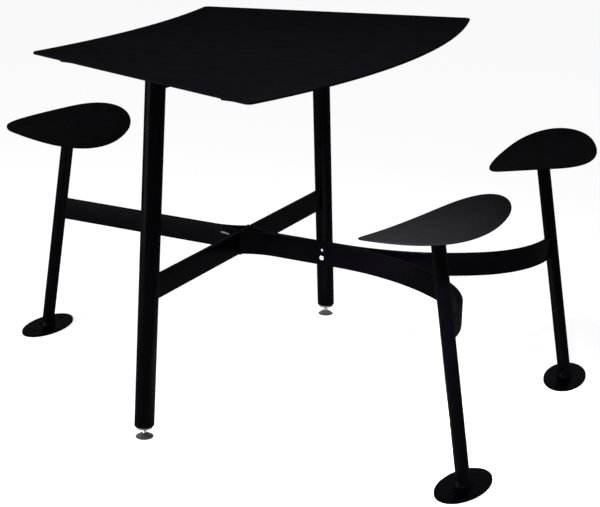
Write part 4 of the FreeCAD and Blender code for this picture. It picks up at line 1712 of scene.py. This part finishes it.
@dataclass
class Seat:
    """One seat: the rolled leaf, its bracket, hub and screws, in the seat's own frame."""

    station: Station
    roll_radius: float = 466.0
    low_line: float = 29.0
    round_radius: float = 105.0
    round_back: float = 50.0
    side_radius: float = 206.0
    tip_reach: float = 179.0
    tip_radius: float = 16.0
    tip_steps: int = 14
    side_steps: int = 48
    round_steps: int = 40
    rim_round: float = 1.2
    rim_margin: float = 1.5
    heart: float = -20.0
    ring_shares: tuple[float, ...] = (
        0.02, 0.1, 0.2, 0.3, 0.4, 0.5, 0.6, 0.7, 0.8, 0.88, 0.94, 0.975
    )
    bracket_dia: float = 58.0
    bracket_play: float = 0.02
    weld: float = 1.9
    weld_out: float = 0.4
    weld_drop: float = 0.6
    weld_step: float = 1.2
    hub_dia: float = 54.0
    spindle_dia: float = 16.0
    spindle_tail: float = 3.0
    ring_play: float = 0.1
    ring_thick: float = 1.2
    groove_depth: float = 1.0
    screw_radius: float = 20.5
    screw_grip: float = 5.0
    screw: SocketScrew = SocketScrew(6.0, 10.0, 4.0, 4.0, 2.2)

    def rolled(self, loop: Loop, under: float = 0.0, lift: float = 0.0) -> Loop:
        """Lay a flat loop on the rolled sheet.

        Args:
            loop: The loop.
            under: How far under the sitting surface it lies, square to the sheet.
            lift: How far it is lifted after that, straight up.

        Returns:
            The loop on the sheet.
        """
        radius, laid = self.roll_radius + under, []
        for p in loop:
            rise = self.roll_radius - math.sqrt(radius ** 2 - (p.x - self.low_line) ** 2)
            laid.append(Vector((p.x, p.y, rise + lift)))
        return laid

    def outline(self) -> Loop:
        """The leaf outline, four arcs that run into each other.

        Returns:
            The outline's points, counterclockwise.
        """
        tip_x, round_x = self.tip_reach - self.tip_radius, -self.round_back
        near, far = self.side_radius - self.round_radius, self.side_radius - self.tip_radius
        side_x = (tip_x + round_x + (near ** 2 - far ** 2) / (tip_x - round_x)) / 2
        side_y = math.sqrt(near ** 2 - (side_x - round_x) ** 2)
        tip_turn = math.atan2(side_y, tip_x - side_x)
        back_turn = math.atan2(side_y, round_x - side_x)
        far_back, far_tip = 2 * math.pi - back_turn, 2 * math.pi - tip_turn
        near_side, far_side = Vector((side_x, -side_y, 0)), Vector((side_x, side_y, 0))
        pieces = (
            (Vector((tip_x, 0, 0)), self.tip_radius, -tip_turn, tip_turn, self.tip_steps),
            (near_side, self.side_radius, tip_turn, back_turn, self.side_steps),
            (Vector((round_x, 0, 0)), self.round_radius, back_turn, far_back, self.round_steps),
            (far_side, self.side_radius, far_back, far_tip, self.side_steps),
        )
        return [point for piece in pieces for point in arc(*piece)[:-1]]

    def shell_loops(self) -> list[Loop]:
        """Loops of the rolled sheet, from the middle of its top to the middle underneath.

        Returns:
            The loops.
        """
        outline, under = self.outline(), SIZES.seat_thick
        heart = Vector((self.heart, 0, 0))
        start = inset(outline, self.rim_round + self.rim_margin)
        flat = [[heart.lerp(p, share) for p in start] for share in self.ring_shares] + [start]
        edge = [(inset(outline, inward), drop) for inward, drop in rounding(self.rim_round)]
        upper = [self.rolled(loop) for loop in flat]
        upper += [self.rolled(loop, lift=-drop) for loop, drop in edge]
        lower = [self.rolled(loop, under, drop) for loop, drop in reversed(edge)]
        return upper + lower + [self.rolled(loop, under) for loop in reversed(flat)]

    def build_bracket(self, shop: Workshop) -> None:
        """Build the bracket disc and the bead that joins it to the sheet.

        Args:
            shop: Where pieces are dressed.
        """
        label, body, place = self.station.label, self.station.body, self.station.seat
        radius, under = self.bracket_dia / 2, SIZES.seat_thick
        base = -SIZES.seat_thick - SIZES.bracket_thick
        profile = (
            (2.0, base), (radius - 2.0, base), (radius - 0.8, base),
            (radius - 0.2, base + 0.2), (radius, base + 0.8),
        )
        loops = revolve(profile)
        for top in (radius, radius * 0.5, 2.0):
            loops.append(self.rolled(circle(top), under, -self.bracket_play))
        disc = skin(f"{label}_bracket_disc", loops, place)
        shop.dress(disc, f"{label}_seat_bracket", body=body)
        round_disc = self.rolled(circle(radius + self.weld_out), under, -self.weld_drop)
        seam = spread_evenly(round_disc, self.weld_step)
        weld = bead(f"{label}_bracket_weld", [place @ point for point in seam], self.weld)
        shop.dress(weld, body=body)

    def build_hub(self, shop: Workshop) -> None:
        """Build the hub with its spindle, the ring in the spindle's groove, and the screws.

        Args:
            shop: Where pieces are dressed.
        """
        label, body, place = self.station.label, self.station.body, self.station.seat
        base, wide, thin = SIZES.hub_base, self.hub_dia / 2, self.spindle_dia / 2
        top, groove = base + SIZES.hub_thick, thin - self.groove_depth
        high = SIZES.post_end - SIZES.bush_run - self.ring_play
        low = high - self.ring_thick
        end = low - self.spindle_tail
        # The flange, then the spindle down past its groove to a chamfered tip.
        profile = [
            (1.0, top), (wide - 1.5, top), (wide - 0.4, top - 0.1), (wide, top - 0.6),
            (wide, base + 1.0), (wide - 0.3, base + 0.3), (wide - 1.0, base),
            (wide - 3.0, base), (thin + 2.0, base), (thin + 0.02, base - 0.02),
            (thin, high), (groove, high), (groove, low), (thin, low),
            (thin, end + 1.0), (thin - 1.0, end), (1.0, end),
        ]
        hub = skin(f"{label}_swivel_hub", revolve(profile), place)
        shop.dress(hub, f"{label}_seat_hub", finish=Finish.OXIDE, body=body)
        shank = self.screw.loops(SIZES.hub_thick + self.screw_grip)
        out = shift(self.screw_radius, 0.0, base)
        screws = [skin("screw", shank, place @ spin(QUARTER * (i + 0.5)) @ out) for i in range(4)]
        joined = join(f"{label}_hub_screws", screws)
        shop.dress(joined, f"{label}_seat_screws", finish=Finish.ZINC, body=body)
        shop.coat_solid(f"{label}_retaining_ring", Finish.ZINC)

    def build(self, shop: Workshop) -> None:
        """Build the whole seat.

        Args:
            shop: Where pieces are dressed.
        """
        label = self.station.label
        shell = skin(f"{label}_leaf_shell", self.shell_loops(), self.station.seat)
        shop.dress(shell, f"{label}_seat_shell", finish=Finish.SEAT, body=self.station.body)
        self.build_bracket(shop)
        self.build_hub(shop)


# --- Studio --------------------------------------------------------------------------------


@dataclass(frozen=True)
class Lamp:
    """A soft box aimed at a point of the table. Places are in metres, angles in degrees."""

    name: str
    place: tuple[float, float, float]
    aim: tuple[float, float, float]
    width: float
    height: float
    power: float
    spread: float = 180.0

    def build(self) -> None:
        """Add the lamp to the scene."""
        data = bpy.data.lights.new(self.name, "AREA")
        data.shape = "RECTANGLE"
        data.size = self.width
        data.size_y = self.height
        data.energy = self.power
        data.spread = math.radians(self.spread)
        lamp = bpy.data.objects.new(self.name, data)
        lamp.location = self.place
        look = Vector(self.aim) - Vector(self.place)
        lamp.rotation_euler = look.to_track_quat("-Z", "Y").to_euler()
        bpy.context.scene.collection.objects.link(lamp)


LEFT_KEY = Lamp(
    "left_key", place=(-1.32, -1.58, 0.74), aim=(-0.05, -0.42, 0.7),
    width=1.1, height=1.25, power=38.0,
)
OVERHEAD = Lamp(
    "overhead", place=(0.4, -0.8, 2.7), aim=(0.26, -0.25, 0.76),
    width=0.5, height=0.5, power=3.6, spread=56.0,
)
SEAT_LIGHT = Lamp(
    "seat_light", place=(0.75, -1.2, 1.35), aim=(0.44, -0.42, 0.45),
    width=0.15, height=0.15, power=5.6, spread=29.0,
)


@dataclass(frozen=True)
class Studio:
    """White floor and background, soft lamps, and the camera, in metres."""

    camera_place: tuple[float, float, float] = (1.54905, -2.8559, 1.3562)
    heading: float = math.radians(27.148)
    tilt: float = math.radians(-18.184)
    roll: float = math.radians(0.887)
    lens: float = 92.016
    sensor_width: float = 36.0
    floor_radius: float = 14.0
    floor_sides: int = 128
    floor_level: float = -0.0005
    floor_colour: Colour = (0.82, 0.82, 0.82)
    floor_glow: float = 0.76
    world_light: float = 0.22
    lamps: tuple[Lamp, ...] = (LEFT_KEY, OVERHEAD, SEAT_LIGHT)

    def build_camera(self) -> None:
        """Set up the camera."""
        data = bpy.data.cameras.new("view")
        data.sensor_fit = "HORIZONTAL"
        data.sensor_width = self.sensor_width
        data.lens = self.lens
        camera = bpy.data.objects.new("view", data)
        ahead = Vector((
            -math.sin(self.heading) * math.cos(self.tilt),
            math.cos(self.heading) * math.cos(self.tilt),
            math.sin(self.tilt),
        ))
        flat_right = Vector((math.cos(self.heading), math.sin(self.heading), 0))
        above = flat_right.cross(ahead)
        right = math.cos(self.roll) * flat_right + math.sin(self.roll) * above
        up = math.cos(self.roll) * above - math.sin(self.roll) * flat_right
        turned = Matrix((right, up, -ahead)).transposed().to_4x4()
        camera.matrix_world = Matrix.Translation(self.camera_place) @ turned
        bpy.context.scene.collection.objects.link(camera)
        bpy.context.scene.camera = camera

    def _seen_directly(self, graph: Graph) -> Wire:
        """Tell rays that show the background: camera, glossy and transmission rays.

        Args:
            graph: Where the nodes go.

        Returns:
            1 for those rays and 0 for the others.
        """
        path = graph.node("ShaderNodeLightPath")
        rays = ("Is Camera Ray", "Is Glossy Ray", "Is Transmission Ray")
        camera, glossy, through = (Wire(graph, path.outputs[name]) for name in rays)
        return camera.at_least(glossy).at_least(through)

    def build_floor(self) -> None:
        """Add the pale floor, which keeps the table's shadow."""
        disc = bmesh.new()
        bmesh.ops.create_circle(
            disc, cap_ends=True, segments=self.floor_sides, radius=self.floor_radius
        )
        floor = settle("studio_floor", disc)
        floor.location.z = self.floor_level
        graph = Graph(bpy.data.materials.new("studio_floor"))
        glow = self._seen_directly(graph) * self.floor_glow
        floor.data.materials.append(graph.finish({
            "Base Color": (*self.floor_colour, 1.0),
            "Roughness": 1.0,
            "Specular IOR Level": 0.0,
            "Emission Color": graph.blend(glow, (0, 0, 0), (1, 1, 1)),
            "Emission Strength": 1.0,
        }))

    def build_world(self) -> None:
        """Make the world white where it is seen, and a soft fill where it lights."""
        world = bpy.data.worlds.new("studio")
        graph = Graph(world)
        strength = self.world_light + (1.0 - self.world_light) * self._seen_directly(graph)
        inputs = {"Color": (1, 1, 1, 1), "Strength": strength}
        background = graph.wire("ShaderNodeBackground", {}, inputs)
        graph.node("ShaderNodeOutputWorld", {}, {"Surface": background})
        bpy.context.scene.world = world

    def build(self) -> None:
        """Build the studio."""
        bpy.context.scene.view_settings.view_transform = "Standard"
        self.build_camera()
        self.build_floor()
        self.build_world()
        for lamp in self.lamps:
            lamp.build()


# --- Main ----------------------------------------------------------------------------------


def main() -> None:
    """Build the studio and dress the table."""
    logging.basicConfig(level=logging.INFO, format="%(name)s: %(message)s")
    Studio().build()
    shop = Workshop()
    Tabletop().build(shop)
    build_legs(shop)
    Arms().build(shop)
    for station in Station:
        Post(station).build(shop)
        Seat(station).build(shop)
    LOG.info("%d pieces dressed", len(shop.dressed))


if __name__ == "__main__":
    main()
